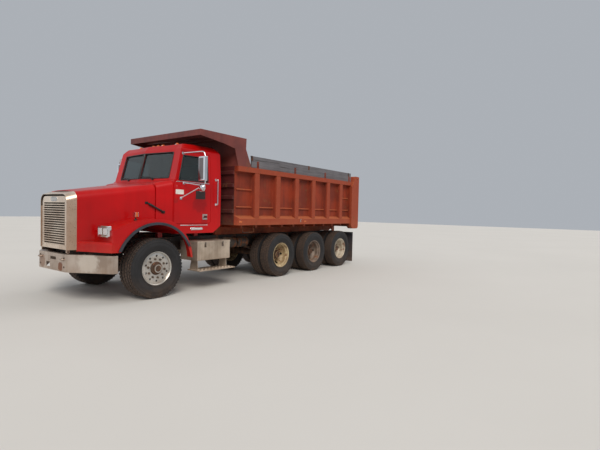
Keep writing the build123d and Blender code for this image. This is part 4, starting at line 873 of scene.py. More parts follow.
def windscreen_trim():
    """Rubber seals, the strip between the panes, and two wipers parked to the right."""
    for word, side in SIDES.items():
        corners = [on_screen(side * y, z, 0.001) for y, z in [(0.018, 2.177), (0.826, 2.177),
                                                              (0.808, 2.681), (0.018, 2.681)]]
        pipe(f"windscreen_seal_{word}", eased(corners, 0.05), 0.010, "chassis", "black_plastic", True)
    with new_piece("windscreen_divider", "chassis", "black_plastic") as bm:
        foot, head = on_screen(0, 2.168, 0.002), on_screen(0, 2.690, 0.002)
        bar(bm, foot, head, 0.016, 12, 0.004)
    for name, pivot in (("left", 0.42), ("right", -0.40)):
        with new_piece(f"wiper_{name}", "chassis", "black_plastic") as bm:
            root = on_screen(pivot, 2.150, 0.004)
            middle, reach = on_screen(pivot - 0.21, 2.205, 0.026), on_screen(pivot - 0.10, 2.180, 0.034)
            bar(bm, root, root + Vector((0.034, 0, 0.008)), 0.016, 14, 0.003)
            for a, b in ((root + Vector((0.028, 0, 0.006)), reach), (reach, middle)):
                bar(bm, a, b, 0.0055, 8, 0.001)
            ends = [on_screen(pivot - 0.40, 2.222, 0.013), on_screen(pivot - 0.21, 2.206, 0.017),
                    on_screen(pivot - 0.03, 2.192, 0.013)]
            for a, b in zip(ends, ends[1:]):
                bar(bm, a, b, 0.006, 6, 0.001)
    corners = [ahead(-1.592, y, z) for y, z in [(-0.418, 2.152), (0.418, 2.152), (0.418, 2.558),
                                                (-0.418, 2.558)]]
    pipe("rear_window_seal", eased(corners, 0.06), 0.010, "chassis", "black_plastic", True)


def side_y(z):
    """How far out the door's face stands at a height."""
    return 1.035 - 0.042 * max(0.0, z - 2.125) / 0.635


def door_trim():
    """Window seals, belt strips, latch plates with their paddles, and two blank signs on the left door."""
    for word, side in SIDES.items():
        body = f"door_assembly_{word}"
        corners = [ahead(x, side * (side_y(z) + 0.001), z) for x, z in [(-0.528, 2.141), (-0.652, 2.620),
                                                                     (-1.243, 2.620), (-1.243, 2.141)]]
        pipe(f"door_window_seal_{word}", eased(corners, 0.045), 0.009, body, "black_plastic", True)
        with new_piece(f"door_belt_strip_{word}", body, "chrome") as bm:
            plate(bm, at_side(f"door_{word}", -0.875, 2.112, side), 0.80, 0.013, 0.006, 0.005)
            for x in (-0.55, -0.875, -1.20):
                dome(bm, at_side(f"door_{word}", x, 2.112, side, lift=0.006), 0.004, 0.002, 10)
        with new_piece(f"door_latch_plate_{word}", body, "satin_aluminium") as bm:
            plate(bm, side_frame(-1.1675, 1.040, 1.445, side), 0.122, 0.108, 0.003, 0.012)
            for x, z in [(-1.115, 1.488), (-1.220, 1.488), (-1.115, 1.402), (-1.220, 1.402)]:
                dome(bm, side_frame(x, 1.043, z, side), 0.005, 0.003, 10)
        with new_piece(f"door_paddle_{word}", body, "black_plastic") as bm:
            plate(bm, side_frame(-1.176, 1.0495, 1.4475, side), 0.072, 0.038, 0.005, 0.008, 0.002)
            bar(bm, ahead(-1.128, side * 1.043, 1.425), ahead(-1.128, side * 1.050, 1.425), 0.010, 16,
                0.001)
    for name, x, z, width, height, finish in [("blank_sign_white", -0.555, 1.915, 0.185, 0.088,
                                               "plate_white"), ("blank_sign_black", -1.055, 1.875, 0.240,
                                                                0.160, "plate_black")]:
        with new_piece(name, "door_assembly_left", finish) as bm:
            plate(bm, at_side("door_left", x, z, 1), width, height, 0.002, 0.008, 0.0008)


def cab_side_trim():
    """Bright strip and oval lamp on the skirt below each door, and the handrails' feet."""
    for word, side in SIDES.items():
        with new_piece(f"skirt_strip_{word}", "chassis", "chrome") as bm:
            plate(bm, at_side("cab_shell", -0.908, 1.283, side), 0.675, 0.014, 0.006, 0.005)
            lamp_seat = at_side("cab_shell", -0.965, 1.212, side)
            plate(bm, lamp_seat, 0.30, 0.052, 0.008, 0.025, 0.003)
        with new_piece(f"skirt_lamp_{word}", "chassis", "lens_clear") as bm:
            plate(bm, moved(lamp_seat, 0, 0, 0.004), 0.262, 0.032, 0.012, 0.0155, 0.004)
        with new_piece(f"handrail_feet_{word}", "chassis", "chrome") as bm:
            for z in (2.204, 1.701):
                spot = at_side("cab_shell", -1.45, z, side)
                post(bm, spot, -0.002, 0.006, 0.026, 20, 0.002)
                for x in (-0.018, 0.018):
                    dome(bm, moved(spot, x, 0, 0.005), 0.004, 0.003, 8)


def roof_lamps():
    """Five small amber lamps along the roof's front, each on an oval base."""
    for k, y in enumerate((-0.62, -0.16, 0.0, 0.16, 0.62)):
        base = frame_at(skin("cab_shell", ahead(-0.80, y, 2.98), (0, 0, -1))[0], (0, 0, 1), (1, 0, 0))
        with new_piece(f"roof_lamp_base_{k + 1}", "chassis", "chrome") as bm:
            plate(bm, moved(base, 0, 0, -0.004), 0.066, 0.110, 0.014, 0.028, 0.004)
        with new_piece(f"roof_lamp_{k + 1}", "chassis", "lens_amber") as bm:
            dome(bm, base @ Matrix.Translation((0, 0, 0.009)) @ Matrix.Diagonal((0.55, 1, 1, 1)), 0.045,
                 0.034, 20)


def bonnet_fittings():
    """What both sides of the bonnet carry, and the straps that hold it down."""
    for word, side in SIDES.items():
        # Rubber strap that holds the bonnet down, on brackets at the cowl and the bonnet
        high, low = at_side("hood", 0.02, 1.69, side), at_side("cab_shell", -0.26, 1.53, side)
        with new_piece(f"bonnet_strap_{word}", "chassis", "black_plastic") as bm:
            plate(bm, low, 0.060, 0.050, 0.012, 0.008, 0.002)
            for x in (0.018, -0.018):
                bolt(bm, moved(low, x, 0, 0.012), 0.008)
            a, b = low @ Vector((0, 0, 0.030)), high @ Vector((0, 0, 0.030))
            bar(bm, low @ Vector((0, 0, 0.008)), a, 0.016, 12, 0.002)
            bar(bm, a, a.lerp(b, 0.92), 0.017, 14, 0.004)
            bar(bm, a.lerp(b, 0.60), a.lerp(b, 0.90), 0.022, 14, 0.004)
        with new_piece(f"bonnet_catch_{word}", "bonnet", "black_plastic") as bm:
            plate(bm, high, 0.056, 0.044, 0.010, 0.008, 0.002)
            for x in (-0.018, 0.018):
                bolt(bm, moved(high, x, 0, 0.010), 0.008)
            bar(bm, high @ Vector((-0.014, 0.006, 0.016)), high @ Vector((0.014, 0.006, 0.016)), 0.008, 10,
                0.001)
        # Amber lamp on a short stalk on the wing's top
        base = frame_at(skin("hood", ahead(0.36, side * 1.05, 1.8), (0, 0, -1))[0], (0, 0, 1), (1, 0, 0))
        with new_piece(f"wing_lamp_stalk_{word}", "bonnet", "black_plastic") as bm:
            post(bm, base, -0.006, 0.016, 0.030, 20, 0.004)
            post(bm, base, 0.010, 0.060, 0.012, 12, 0.002)
        with new_piece(f"wing_lamp_{word}", "bonnet", "lens_amber") as bm:
            slab(bm, base @ Vector((-0.034, -0.030, 0.050)), base @ Vector((0.034, 0.030, 0.135)), 0.012, 3)
        with new_piece(f"wing_lamp_rims_{word}", "bonnet", "chrome") as bm:
            for x in (0.036, -0.036):
                plate(bm, base @ Matrix.Translation((0, 0, 0.092)) @ Matrix.Rotation(math.pi / 2, 4,
                                                                                     "X")
                      @ Matrix.Translation((0, 0, 0.026 if x > 0 else -0.032)), 0.078, 0.092, 0.006, 0.014,
                      0.002)
        # Headlamp lenses, each in a rim
        for k, y in enumerate((0.905, 1.062)):
            spot = to_front(0.896, side * y, 1.202)
            with new_piece(f"headlamp_lens_{k + 1}_{word}", "bonnet", "lens_clear") as bm:
                plate(bm, moved(spot, 0, 0, -0.002), 0.112, 0.108, 0.012, 0.022, 0.005)
            corners = [spot @ Vector((x, z, 0.004)) for x, z in [(-0.058, -0.056), (0.058, -0.056),
                                                              (0.058, 0.056), (-0.058, 0.056)]]
            pipe(f"headlamp_rim_{k + 1}_{word}", eased(corners, 0.022), 0.005, "bonnet", "chrome", True)
        with new_piece(f"arch_edge_rivets_{word}", "bonnet", "black_plastic") as bm:
            for angle in (62, 74, 86, 98, 110, 122):
                turn = math.radians(angle)
                spot = ahead(0.030 + 0.768 * math.cos(turn), side * 1.222, 0.560 + 0.768 * math.sin(turn))
                dome(bm, frame_at(spot, (0, side, 0)), 0.007, 0.004, 10)
        with new_piece(f"arch_bolts_{word}", "bonnet", "satin_aluminium") as bm:
            for x in (-0.09, 0.03, 0.08):
                spot, out = skin("hood", ahead(x, side * 1.15, 1.0), (0, 0, 1))
                bolt(bm, frame_at(spot, out, (1, 0, 0)), 0.012)


def nose_fittings():
    """Mesh behind the louvres, a blank oval badge plate and screws round the shell."""
    with new_piece("grille_mesh", "bonnet", "screen_mesh") as bm:
        plate(bm, to_front(1.170, 0, 1.345), 0.98, 0.92, 0.004, 0.11, 0.001)
    with new_piece("grille_badge_rim", "bonnet", "chrome") as bm:
        badge = to_front(1.217, 0, 1.715)
        plate(bm, badge, 0.230, 0.072, 0.006, 0.035, 0.002)
    with new_piece("grille_blank_badge", "bonnet", "satin_aluminium") as bm:
        plate(bm, moved(badge, 0, 0, 0.004), 0.208, 0.052, 0.004, 0.0255, 0.002)
    with new_piece("grille_screws", "bonnet", "bolt_steel") as bm:
        for side in (1, -1):
            for z in (0.93, 1.13, 1.33, 1.53, 1.70):
                dome(bm, to_front(1.217, side * 0.412, z), 0.006, 0.003, 10)
            for z in (0.95, 1.25, 1.55):
                dome(bm, at_side("grille", 1.125, z, side), 0.006, 0.003, 10)


def door_mirrors():
    """Mirror glass facing back, the round mirror's bowl and glass, and bolts at the arms' feet."""
    for word, side in SIDES.items():
        body = f"door_assembly_{word}"
        with new_piece(f"mirror_glass_{word}", body, "mirror_face", 0.9) as bm:
            plate(bm, to_back(-0.8300, side * 1.40, 2.36), 0.168, 0.438, 0.0025, 0.014, 0.001)
        back = to_back(-0.802, side * 1.39, 2.00)
        with new_piece(f"spot_mirror_glass_{word}", body, "mirror_face", 0.9) as bm:
            dome(bm, back, 0.068, 0.010, 32)
        with new_piece(f"spot_mirror_bowl_{word}", body, "chrome") as bm:
            turned(bm, [(0.0, 0.045), (0.03, 0.043), (0.055, 0.032), (0.071, 0.012), (0.0755, -0.005),
                        (0.0755, -0.018), (0.071, -0.020)], ahead(-0.785, side * 1.39, 2.00), (1, 0, 0),
                   (0, 0, 1), 36)
        with new_piece(f"mirror_bolts_{word}", body, "bolt_steel") as bm:
            for x, z, y in [(-0.640, 2.655, side_y(2.655) + 0.010), (-0.640, 2.090, 1.0433),
                            (-0.575, 1.800, 1.0473)]:
                for step in (-0.013, 0.013):
                    bolt(bm, frame_at(ahead(x + (0 if z != 1.8 else step), side * y,
                                            z + (step if z != 1.8 else 0)), (0, side, 0)), 0.006, False)


# Bed and tailgate

RIBS = (-2.54, -3.29, -4.04, -4.79, -5.52, -6.22)
BOARD_POSTS = (-2.60, -4.00, -5.40, -6.74)


def bed_fittings():
    """Weld beads along the ribs, board bolts and straps, skirt clips, shovel hangers and reflectors."""
    for word, side in SIDES.items():
        out = Vector((0, side, 0))
        with new_piece(f"bed_weld_beads_{word}", "bed", "bed_orange", 1.2) as bm:
            for x in RIBS:
                for edge in (-0.091, 0.091):
                    bar(bm, ahead(x + edge, side * 1.0905, 1.470), ahead(x + edge, side * 1.0905, 2.415),
                        0.0055, 6)
                    bar(bm, ahead(x + edge * 0.77, side * 1.192, 1.440),
                        ahead(x + edge * 0.77, side * 1.192, 2.43), 0.004, 6)
            for z in (1.478, 2.414):
                bar(bm, ahead(-1.96, side * 1.091, z), ahead(-6.77, side * 1.091, z), 0.006, 6)
        with new_piece(f"board_bolts_{word}", "bed", "bolt_steel") as bm:
            for x in BOARD_POSTS:
                for z in (2.60, 2.665):
                    bolt(bm, frame_at(ahead(x, side * 1.151, z), out), 0.013)
        with new_piece(f"board_straps_{word}", "bed", "spring_steel") as bm:
            for x in (-2.41, -4.60, -6.70):
                slab(bm, ahead(x - 0.025, side * 1.1000, 2.800), ahead(x + 0.025, side * 1.1425, 2.8085),
                     0.003)
                slab(bm, ahead(x - 0.025, side * 1.1407, 2.700), ahead(x + 0.025, side * 1.1455, 2.8075),
                     0.002)
        with new_piece(f"skirt_clip_{word}", "bed", "satin_aluminium") as bm:
            slab(bm, ahead(-4.215, side * 1.1995, 1.325), ahead(-4.190, side * 1.206, 1.400), 0.003)
            slab(bm, ahead(-4.222, side * 1.1995, 1.385), ahead(-4.183, side * 1.216, 1.402), 0.004)
        corners = [ahead(-2.16, side * 1.13, 1.275), ahead(-2.16, side * 1.13, 1.11),
                   ahead(-2.50, side * 1.13, 1.11), ahead(-2.50, side * 1.13, 1.275)]
        hanger = [corners[0], corners[0].lerp(corners[1], 0.8), corners[1],
                  corners[1].lerp(corners[2], 0.1), corners[1].lerp(corners[2], 0.9), corners[2],
                  corners[2].lerp(corners[3], 0.2), corners[3]]
        pipe(f"shovel_hanger_{word}", hanger, 0.009, "bed", "spring_steel")
        for k, x in enumerate((-2.02, -4.40)):
            with new_piece(f"side_reflector_{k + 1}_{word}", "bed", "lens_amber") as bm:
                spot = frame_at(ahead(x, side * 1.1995, 1.345), out)
                plate(bm, spot, 0.090, 0.036, 0.007, 0.014, 0.003)


def gate_fittings():
    """Latch hooks on their cross shaft under the bed, washers on the gate's pins, and its weld beads."""
    with new_piece("gate_latch_shaft", "bed", "spring_steel") as bm:
        bar(bm, ahead(-7.000, -1.06, 1.185), ahead(-7.000, 1.06, 1.185), 0.020, 16, 0.003)
        for y in (-0.98, -0.50, 0.50, 0.98):
            slab(bm, ahead(-7.030, y - 0.012, 1.160), ahead(-6.970, y + 0.012, 1.205), 0.003)
        for y in (-0.98, 0.98):
            slab(bm, ahead(-7.115, y - 0.016, 1.168), ahead(-6.985, y + 0.016, 1.205), 0.006)
            slab(bm, ahead(-7.150, y - 0.016, 1.175), ahead(-7.105, y + 0.016, 1.262), 0.008)
    with new_piece("gate_pin_washers", "rear_gate", "spring_steel") as bm:
        for side in (1, -1):
            spot = side_frame(-7.110, 1.2285, 2.630, side)
            post(bm, spot, -0.006, 0.008, 0.034, 24, 0.003)
    with new_piece("gate_weld_beads", "rear_gate", "bed_orange", 1.2) as bm:
        for y in (-1.01, -0.505, 0.0, 0.505, 1.01):
            for z0, z1 in ((1.40, 1.66), (1.78, 2.04), (2.16, 2.40)):
                for edge in (-0.055, 0.055):
                    bar(bm, ahead(-7.086, y + edge, z0), ahead(-7.086, y + edge, z1), 0.005, 6)


# Chassis and running gear

REAR_AXLES = (-3.500, -4.924, -6.295)


def lamp_round(name, spot, radius, body, finish):
    """A round lamp in a rubber ring."""
    with new_piece(f"{name}_rubber", body, "black_plastic") as bm:
        turned(bm, [(radius * 1.02, 0.0), (radius * 1.18, 0.002), (radius * 1.18, 0.012),
                    (radius * 1.02, 0.016), (radius * 0.98, 0.010)], spot.translation,
               spot.to_3x3() @ Vector((0, 0, 1)), spot.to_3x3() @ Vector((1, 0, 0)), 28)
    with new_piece(name, body, finish) as bm:
        dome(bm, moved(spot, 0, 0, 0.004), radius, 0.014, 28)


def rear_lamps():
    """Three lamps on a plate at each side, and the bolts of the mud flaps."""
    for word, side in SIDES.items():
        with new_piece(f"lamp_plate_{word}", "chassis", "frame_black") as bm:
            slab(bm, ahead(-7.178, side * 0.44, 0.865), ahead(-7.1695, side * 0.88, 0.985), 0.003)
            for y in (0.47, 0.85):
                bolt(bm, to_back(-7.178, side * y, 0.925), 0.008)
        for k, (y, finish) in enumerate([(0.53, "lens_red"), (0.66, "lens_red"), (0.79, "lens_clear")]):
            lamp_round(f"rear_lamp_{k + 1}_{word}", to_back(-7.178, side * y, 0.925), 0.048, "chassis",
                       finish)
        with new_piece(f"mud_flap_bolts_{word}", "chassis", "bolt_steel") as bm:
            for y in (0.65, 0.78, 0.91, 1.04):
                bolt(bm, to_back(-7.1785, side * y, 0.84), 0.010)


def rail_bolts():
    """Two rows of bolts along the outer face of both rails."""
    with new_piece("rail_bolts", "chassis", "bolt_steel") as bm:
        for side in (1, -1):
            for k in range(19):
                x = 0.92 - 0.43 * k
                for z in (0.80, 0.97):
                    if x < -6.9:
                        continue
                    spot, out = skin("frame_rails", ahead(x, side * 0.60, z), (0, -side, 0))
                    bolt(bm, frame_at(spot, out), 0.010)


def spring_clamps():
    """U bolts, their plates and nuts, that hold each spring to its axle."""
    with new_piece("spring_clamps", "chassis", "spring_steel") as bm:
        places = [(0.0, 0.39, 0.046, 0.360, 0.562, 0.062)]
        places += [(x, 0.475, 0.057, 0.440, 0.702, 0.071) for x in REAR_AXLES]
        for x, y, half, low, high, reach in places:
            for side in (1, -1):
                slab(bm, ahead(x - reach - 0.016, side * (y - half - 0.012), high),
                     ahead(x + reach + 0.016, side * (y + half + 0.012), high + 0.014), 0.003)
                slab(bm, ahead(x - reach - 0.016, side * (y - half - 0.012), low),
                     ahead(x + reach + 0.016, side * (y + half + 0.012), low + 0.014), 0.003)
                for dx in (-reach, reach):
                    for dy in (-half, half):
                        spot = ahead(x + dx, side * y + dy, low)
                        bar(bm, spot - Vector((0, 0, 0.030)), spot + Vector((0, 0, high - low + 0.024)),
                            0.0095, 10, 0.001)
                        bar(bm, spot - Vector((0, 0, 0.018)), spot, 0.0165, 6, 0.002)


def brake_can(bm, front, back, radius):
    """A brake chamber along a line, with its clamp band and pushrod."""
    front, back = Vector(front), Vector(back)
    way = (back - front).normalized()
    span = (back - front).length
    across = way.orthogonal()
    turned(bm, [(0.0, 0.0), (radius * 0.45, 0.0), (radius * 0.85, span * 0.10),
                (radius * 0.95, span * 0.40), (radius * 1.08, span * 0.44), (radius * 1.08, span * 0.52),
                (radius * 0.95, span * 0.56), (radius * 0.9, span * 0.9), (radius * 0.6, span),
                (0.0, span)], front, way, across, 24)
    bar(bm, front - way * 0.10, front + way * 0.01, 0.009, 8)
    bar(bm, front - way * 0.13, front - way * 0.09, 0.018, 8, 0.003)


def brakes():
    """Brake chambers with their brackets, and the front shock absorbers."""
    with new_piece("rear_brake_chambers", "chassis", "axle_iron") as bm:
        for x in REAR_AXLES:
            for side in (1, -1):
                brake_can(bm, ahead(x - 0.13, side * 0.335, 0.600), ahead(x - 0.31, side * 0.335, 0.630),
                          0.074)
                slab(bm, ahead(x - 0.150, side * 0.315, 0.535), ahead(x - 0.055, side * 0.355, 0.560),
                     0.004)
                slab(bm, ahead(x - 0.145, side * 0.290, 0.535), ahead(x - 0.132, side * 0.380, 0.660),
                     0.004)
    for word, side in SIDES.items():
        with new_piece(f"front_brake_chamber_{word}", f"steering_knuckle_{word}", "axle_iron") as bm:
            brake_can(bm, ahead(-0.11, side * 0.700, 0.610), ahead(-0.27, side * 0.690, 0.610), 0.066)
            slab(bm, ahead(-0.125, side * 0.660, 0.560), ahead(-0.112, side * 0.760, 0.655), 0.004)
            slab(bm, ahead(-0.120, side * 0.735, 0.590), ahead(-0.030, side * 0.765, 0.635), 0.005)
            slab(bm, ahead(-0.065, side * 0.745, 0.592), ahead(-0.030, side * 0.965, 0.652), 0.006)
        with new_piece(f"front_shock_absorber_{word}", "chassis", "frame_black") as bm:
            low, high = ahead(0.120, side * 0.560, 0.440), ahead(0.120, side * 0.480, 0.930)
            bar(bm, low, low.lerp(high, 0.55), 0.034, 18, 0.004)
            bar(bm, low.lerp(high, 0.40), high, 0.040, 18, 0.004)
            slab(bm, ahead(0.085, side * 0.4295, 0.900), ahead(0.155, side * 0.500, 0.955), 0.005)
            slab(bm, ahead(0.030, side * 0.535, 0.405), ahead(0.150, side * 0.585, 0.450), 0.005)


def box_and_tank_fittings():
    """Battery box latches, step treads, the tank's cap, plugs, bands, and bumper bolts."""
    with new_piece("battery_box_latches", "chassis", "bolt_steel") as bm:
        for x in (-1.10, -1.56):
            slab(bm, ahead(x - 0.022, 1.1495, 0.845), ahead(x + 0.022, 1.157, 0.915), 0.003)
            slab(bm, ahead(x - 0.014, 1.1555, 0.865), ahead(x + 0.014, 1.164, 0.950), 0.003)
            bar(bm, ahead(x - 0.020, 1.159, 0.868), ahead(x + 0.020, 1.159, 0.868), 0.005, 10, 0.001)
        for x in (-1.00, -1.33, -1.66):
            for z in (0.62, 0.915):
                dome(bm, frame_at(ahead(x, 1.150, z), (0, 1, 0)), 0.006, 0.003, 10)
    with new_piece("step_treads", "chassis", "worn_aluminium", 0.6) as bm:
        tread = bmesh.new()
        bmesh.ops.create_cube(tread, size=1, matrix=Matrix.Diagonal((0.030, 0.009, 0.004, 1)))
        bmesh.ops.scale(tread, vec=(0.7, 0.5, 1), verts=[v for v in tread.verts if v.co.z > 0])
        bmesh.ops.delete(tread, geom=[f for f in tread.faces if f.normal.z < -0.9], context="FACES_ONLY")
        spots = []
        for x0, x1, y0, y1 in [(-1.85, -0.95, 0.86, 1.18), (-1.68, -1.07, -1.18, -0.93)]:
            columns, rows = round((x1 - x0) / 0.045), round((y1 - y0) / 0.045)
            for i in range(columns + 1):
                for j in range(rows + 1):
                    spot = ahead(x0 + (x1 - x0) * i / columns, y0 + (y1 - y0) * j / rows, 0.4016)
                    lean = math.pi / 4 if (i + j) % 2 else -math.pi / 4
                    spots.append(Matrix.Translation(spot) @ Matrix.Rotation(lean, 4, "Z"))
        put(bm, tread, *spots)
    with new_piece("fuel_cap", "chassis", "satin_aluminium") as bm:
        spot, out = skin("fuel_tank", ahead(-1.06, -1.6, 1.30), Vector((0, 0.80, -0.54)).normalized())
        cap = frame_at(spot, out, (1, 0, 0))
        post(bm, cap, -0.01, 0.022, 0.048, 28, 0.003)
        post(bm, cap, 0.020, 0.044, 0.056, 12, 0.004)
        plate(bm, moved(cap, 0, 0, 0.042), 0.090, 0.020, 0.014, 0.006, 0.003)
    with new_piece("tank_plugs", "chassis", "bolt_steel") as bm:
        for x in (-1.22, -1.55):
            bolt(bm, frame_at(ahead(x - 0.012, -0.80, 1.063), (0, 0, 1), (1, 0, 0)), 0.010)
            bolt(bm, frame_at(ahead(x + 0.012, -0.80, 1.063), (0, 0, 1), (1, 0, 0)), 0.010)
        bolt(bm, frame_at(ahead(-1.70, -0.80, 0.4605), (0, 0, -1), (1, 0, 0)), 0.020)
        for front in (-2.040, -2.430):
            bolt(bm, frame_at(ahead(front - 0.175, 0.640, 0.7425), (0, 0, -1), (1, 0, 0)), 0.011)
            bolt(bm, to_back(front - 0.350, 0.640, 0.860), 0.014)
    with new_piece("silencer_bands", "chassis", "spring_steel") as bm:
        for x in (-2.16, -2.30, -2.57, -2.70):
            turned(bm, [(0.1295, -0.012), (0.134, -0.012), (0.134, 0.012), (0.1295, 0.012)],
                   ahead(x, -0.62, 0.80), (1, 0, 0), (0, 0, 1), 40)
            slab(bm, ahead(x - 0.012, -0.640, 0.928), ahead(x + 0.012, -0.600, 0.950), 0.002)
    with new_piece("air_tank_bands", "chassis", "spring_steel") as bm:
        for front in (-2.040, -2.430):
            for x in (front - 0.08, front - 0.27):
                turned(bm, [(0.1175, -0.018), (0.1205, -0.018), (0.1205, 0.018), (0.1175, 0.018)],
                       ahead(x, 0.64, 0.86), (1, 0, 0), (0, 0, 1), 40)
    with new_piece("bumper_bolts", "chassis", "bolt_steel") as bm:
        for side in (1, -1):
            for z in (0.60, 0.75):
                bolt(bm, to_front(1.250, side * 0.437, z), 0.015)


# Inside the cab

SEAT_Y = 0.52
STUFFING_FRAMES = 20
INTO_DASHBOARD = Vector((0.914, 0, -0.406))


def pad_form(centre, size, lean=0.0):
    """A cushion's starting block, its corners well rounded, leaned back about its own width."""
    bm = bmesh.new()
    bmesh.ops.create_cube(bm, size=1, matrix=Matrix.Diagonal((*size, 1)))
    bevel_edges(bm, bm.edges[:], min(size) * 0.38, 4)
    bmesh.ops.transform(bm, matrix=Matrix.Translation(centre) @ Matrix.Rotation(lean, 4, "Y"),
                        verts=bm.verts)
    return bm


def stuff(piece, cap):
    """Swells a cushion with cloth and air pressure, and lets no point move further than the cap."""
    remesh = piece.modifiers.new("even_skin", "REMESH")
    remesh.mode, remesh.voxel_size = "VOXEL", 0.009
    bpy.context.view_layer.objects.active = piece
    bpy.ops.object.modifier_apply(modifier=remesh.name)
    before = [v.co.copy() for v in piece.data.vertices]
    cloth = piece.modifiers.new("stuffing", "CLOTH")
    cloth.settings.use_pressure = True
    cloth.settings.uniform_pressure_force = 4
    cloth.settings.effector_weights.gravity = 0
    cloth.settings.quality = 4
    cloth.collision_settings.use_collision = False
    cloth.point_cache.frame_start, cloth.point_cache.frame_end = 1, STUFFING_FRAMES
    for number in range(1, STUFFING_FRAMES + 1):
        bpy.context.scene.frame_set(number)
    bpy.ops.object.modifier_apply(modifier=cloth.name)
    bpy.context.scene.frame_set(1)
    for v, old in zip(piece.data.vertices, before):
        move = v.co - old
        if move.length > cap:
            v.co = old + move * (cap / move.length)


def sew(piece, lines, depth, width):
    """Presses sewn channels into a cushion. Each line is a point, its way across and the way it faces."""
    bm = bmesh.new()
    bm.from_mesh(piece.data)
    bm.normal_update()
    for spot, across, faces in lines:
        for v in bm.verts:
            off = abs((v.co - spot).dot(across))
            if off < width * 3 and v.normal.dot(faces) > 0.2:
                v.co -= v.normal * depth * math.exp(-(off / width) ** 2)
    bm.to_mesh(piece.data)
    bm.free()


def seat_pads():
    """Driver's and passenger's cushions: one pair is stuffed, and copied to the other side."""
    seat_at, back_at = ahead(-1.085, SEAT_Y, 1.592), ahead(-1.372, SEAT_Y, 1.965)
    lean = -math.atan2(0.165, 0.73)
    rise = Matrix.Rotation(lean, 3, "Y") @ Vector((0, 0, 1))
    forward = Matrix.Rotation(lean, 3, "Y") @ Vector((1, 0, 0))
    pads = [("seat_cushion", pad_form(seat_at, (0.47, 0.47, 0.115)),
             [(seat_at + Vector((dx, 0, 0)), Vector((1, 0, 0)), Vector((0, 0, 1)))
              for dx in (-0.13, -0.02, 0.09)] + [(seat_at + Vector((0, dy, 0)), Vector((0, 1, 0)),
                                                  Vector((0, 0, 1))) for dy in (-0.155, 0.155)]),
            ("seat_backrest", pad_form(back_at, (0.078, 0.46, 0.70), lean),
             [(back_at + rise * d, rise, forward) for d in (-0.20, -0.09, 0.02,
                                                            0.13)] + [(back_at + Vector((0, dy, 0)),
                                                                       Vector((0, 1, 0)), forward)
                                                                      for dy in (-0.150, 0.150)])]
    for name, form, channels in pads:
        piece = finish_piece(f"{name}_left", form, "chassis", "seat_cloth", 3.0)
        stuff(piece, 0.014)
        sew(piece, channels, 0.007, 0.008)
        fine = piece.modifiers.new("smooth", "SUBSURF")
        fine.levels = fine.render_levels = 1
        bpy.context.view_layer.objects.active = piece
        bpy.ops.object.modifier_apply(modifier=fine.name)
        piece.data.shade_smooth()
        mesh = piece.data.copy()
        mesh.transform(Matrix.Translation((0, -2 * SEAT_Y, 0)))
        twin = bpy.data.objects.new(f"{name}_right", mesh)
        bpy.context.scene.collection.objects.link(twin)
        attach(twin, "chassis")
        for pad in (piece, twin):
            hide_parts("seats")


def seat_bases():
    """Bellows under each seat, its frame, and the tubes behind its back."""
    for word, side in SIDES.items():
        y = side * SEAT_Y
        bm = bmesh.new()
        for k in range(9):
            half = 0.150 if k % 2 else 0.128
            low = 1.215 + 0.029 * k
            slab(bm, ahead(-1.080 - half, y - half, low), ahead(-1.080 + half, y + half, low + 0.030),
                 0.010)
        finish_piece(f"seat_bellows_{word}", bm, "chassis", "dark_rubber", 0.9, ["seats"])
        bm = bmesh.new()
        for x0, x1, half, z0, z1 in [(-1.275, -0.885, 0.185, 1.1655, 1.2160),
                                     (-1.300, -0.860, 0.215, 1.476, 1.530)]:
            slab(bm, ahead(x0, y - half, z0), ahead(x1, y + half, z1), 0.008)
        back = [ahead(-1.320, y, 1.500), ahead(-1.352, y, 1.60), ahead(-1.508, y, 2.30)]
        for a, b in zip(back, back[1:]):
            for dy in (-0.19, 0.19):
                bar(bm, a + Vector((0, dy, 0)), b + Vector((0, dy, 0)), 0.014, 10, 0.002)
        slab(bm, ahead(-1.15, y + side * 0.213, 1.485), ahead(-0.98, y + side * 0.228, 1.515), 0.004)
        bar(bm, ahead(-0.96, y + side * 0.15, 1.500), ahead(-0.82, y + side * 0.15, 1.500), 0.006, 8)
        finish_piece(f"seat_frame_{word}", bm, "chassis", "frame_black", 0.6, ["seats"])


def gauge(rims, faces, marks, spot, radius):
    """A dial with a bright rim, a dark face, ticks round it and a needle."""
    out, across = spot.to_3x3() @ Vector((0, 0, 1)), spot.to_3x3() @ Vector((1, 0, 0))
    turned(rims, [(radius * 0.90, 0.004), (radius * 0.98, 0.009), (radius, 0.004), (radius, -0.002)],
           spot.translation, out, across, 28)
    post(faces, spot, -0.002, 0.003, radius * 0.93, 28)
    for k in range(11):
        angle = math.radians(-130 + 26 * k)
        a = Vector((math.sin(angle), math.cos(angle), 0))
        bar(marks, spot @ (a * radius * 0.70 + Vector((0, 0, 0.0034))),
            spot @ (a * radius * 0.85 + Vector((0, 0, 0.0034))), radius * 0.022, 4)
    a = Vector((-0.6, 0.5, 0)).normalized()
    bar(marks, spot @ (a * radius * -0.15 + Vector((0, 0, 0.0050))),
        spot @ (a * radius * 0.62 + Vector((0, 0, 0.0050))), radius * 0.03, 6)
    post(rims, spot, 0.002, 0.007, radius * 0.12, 12)


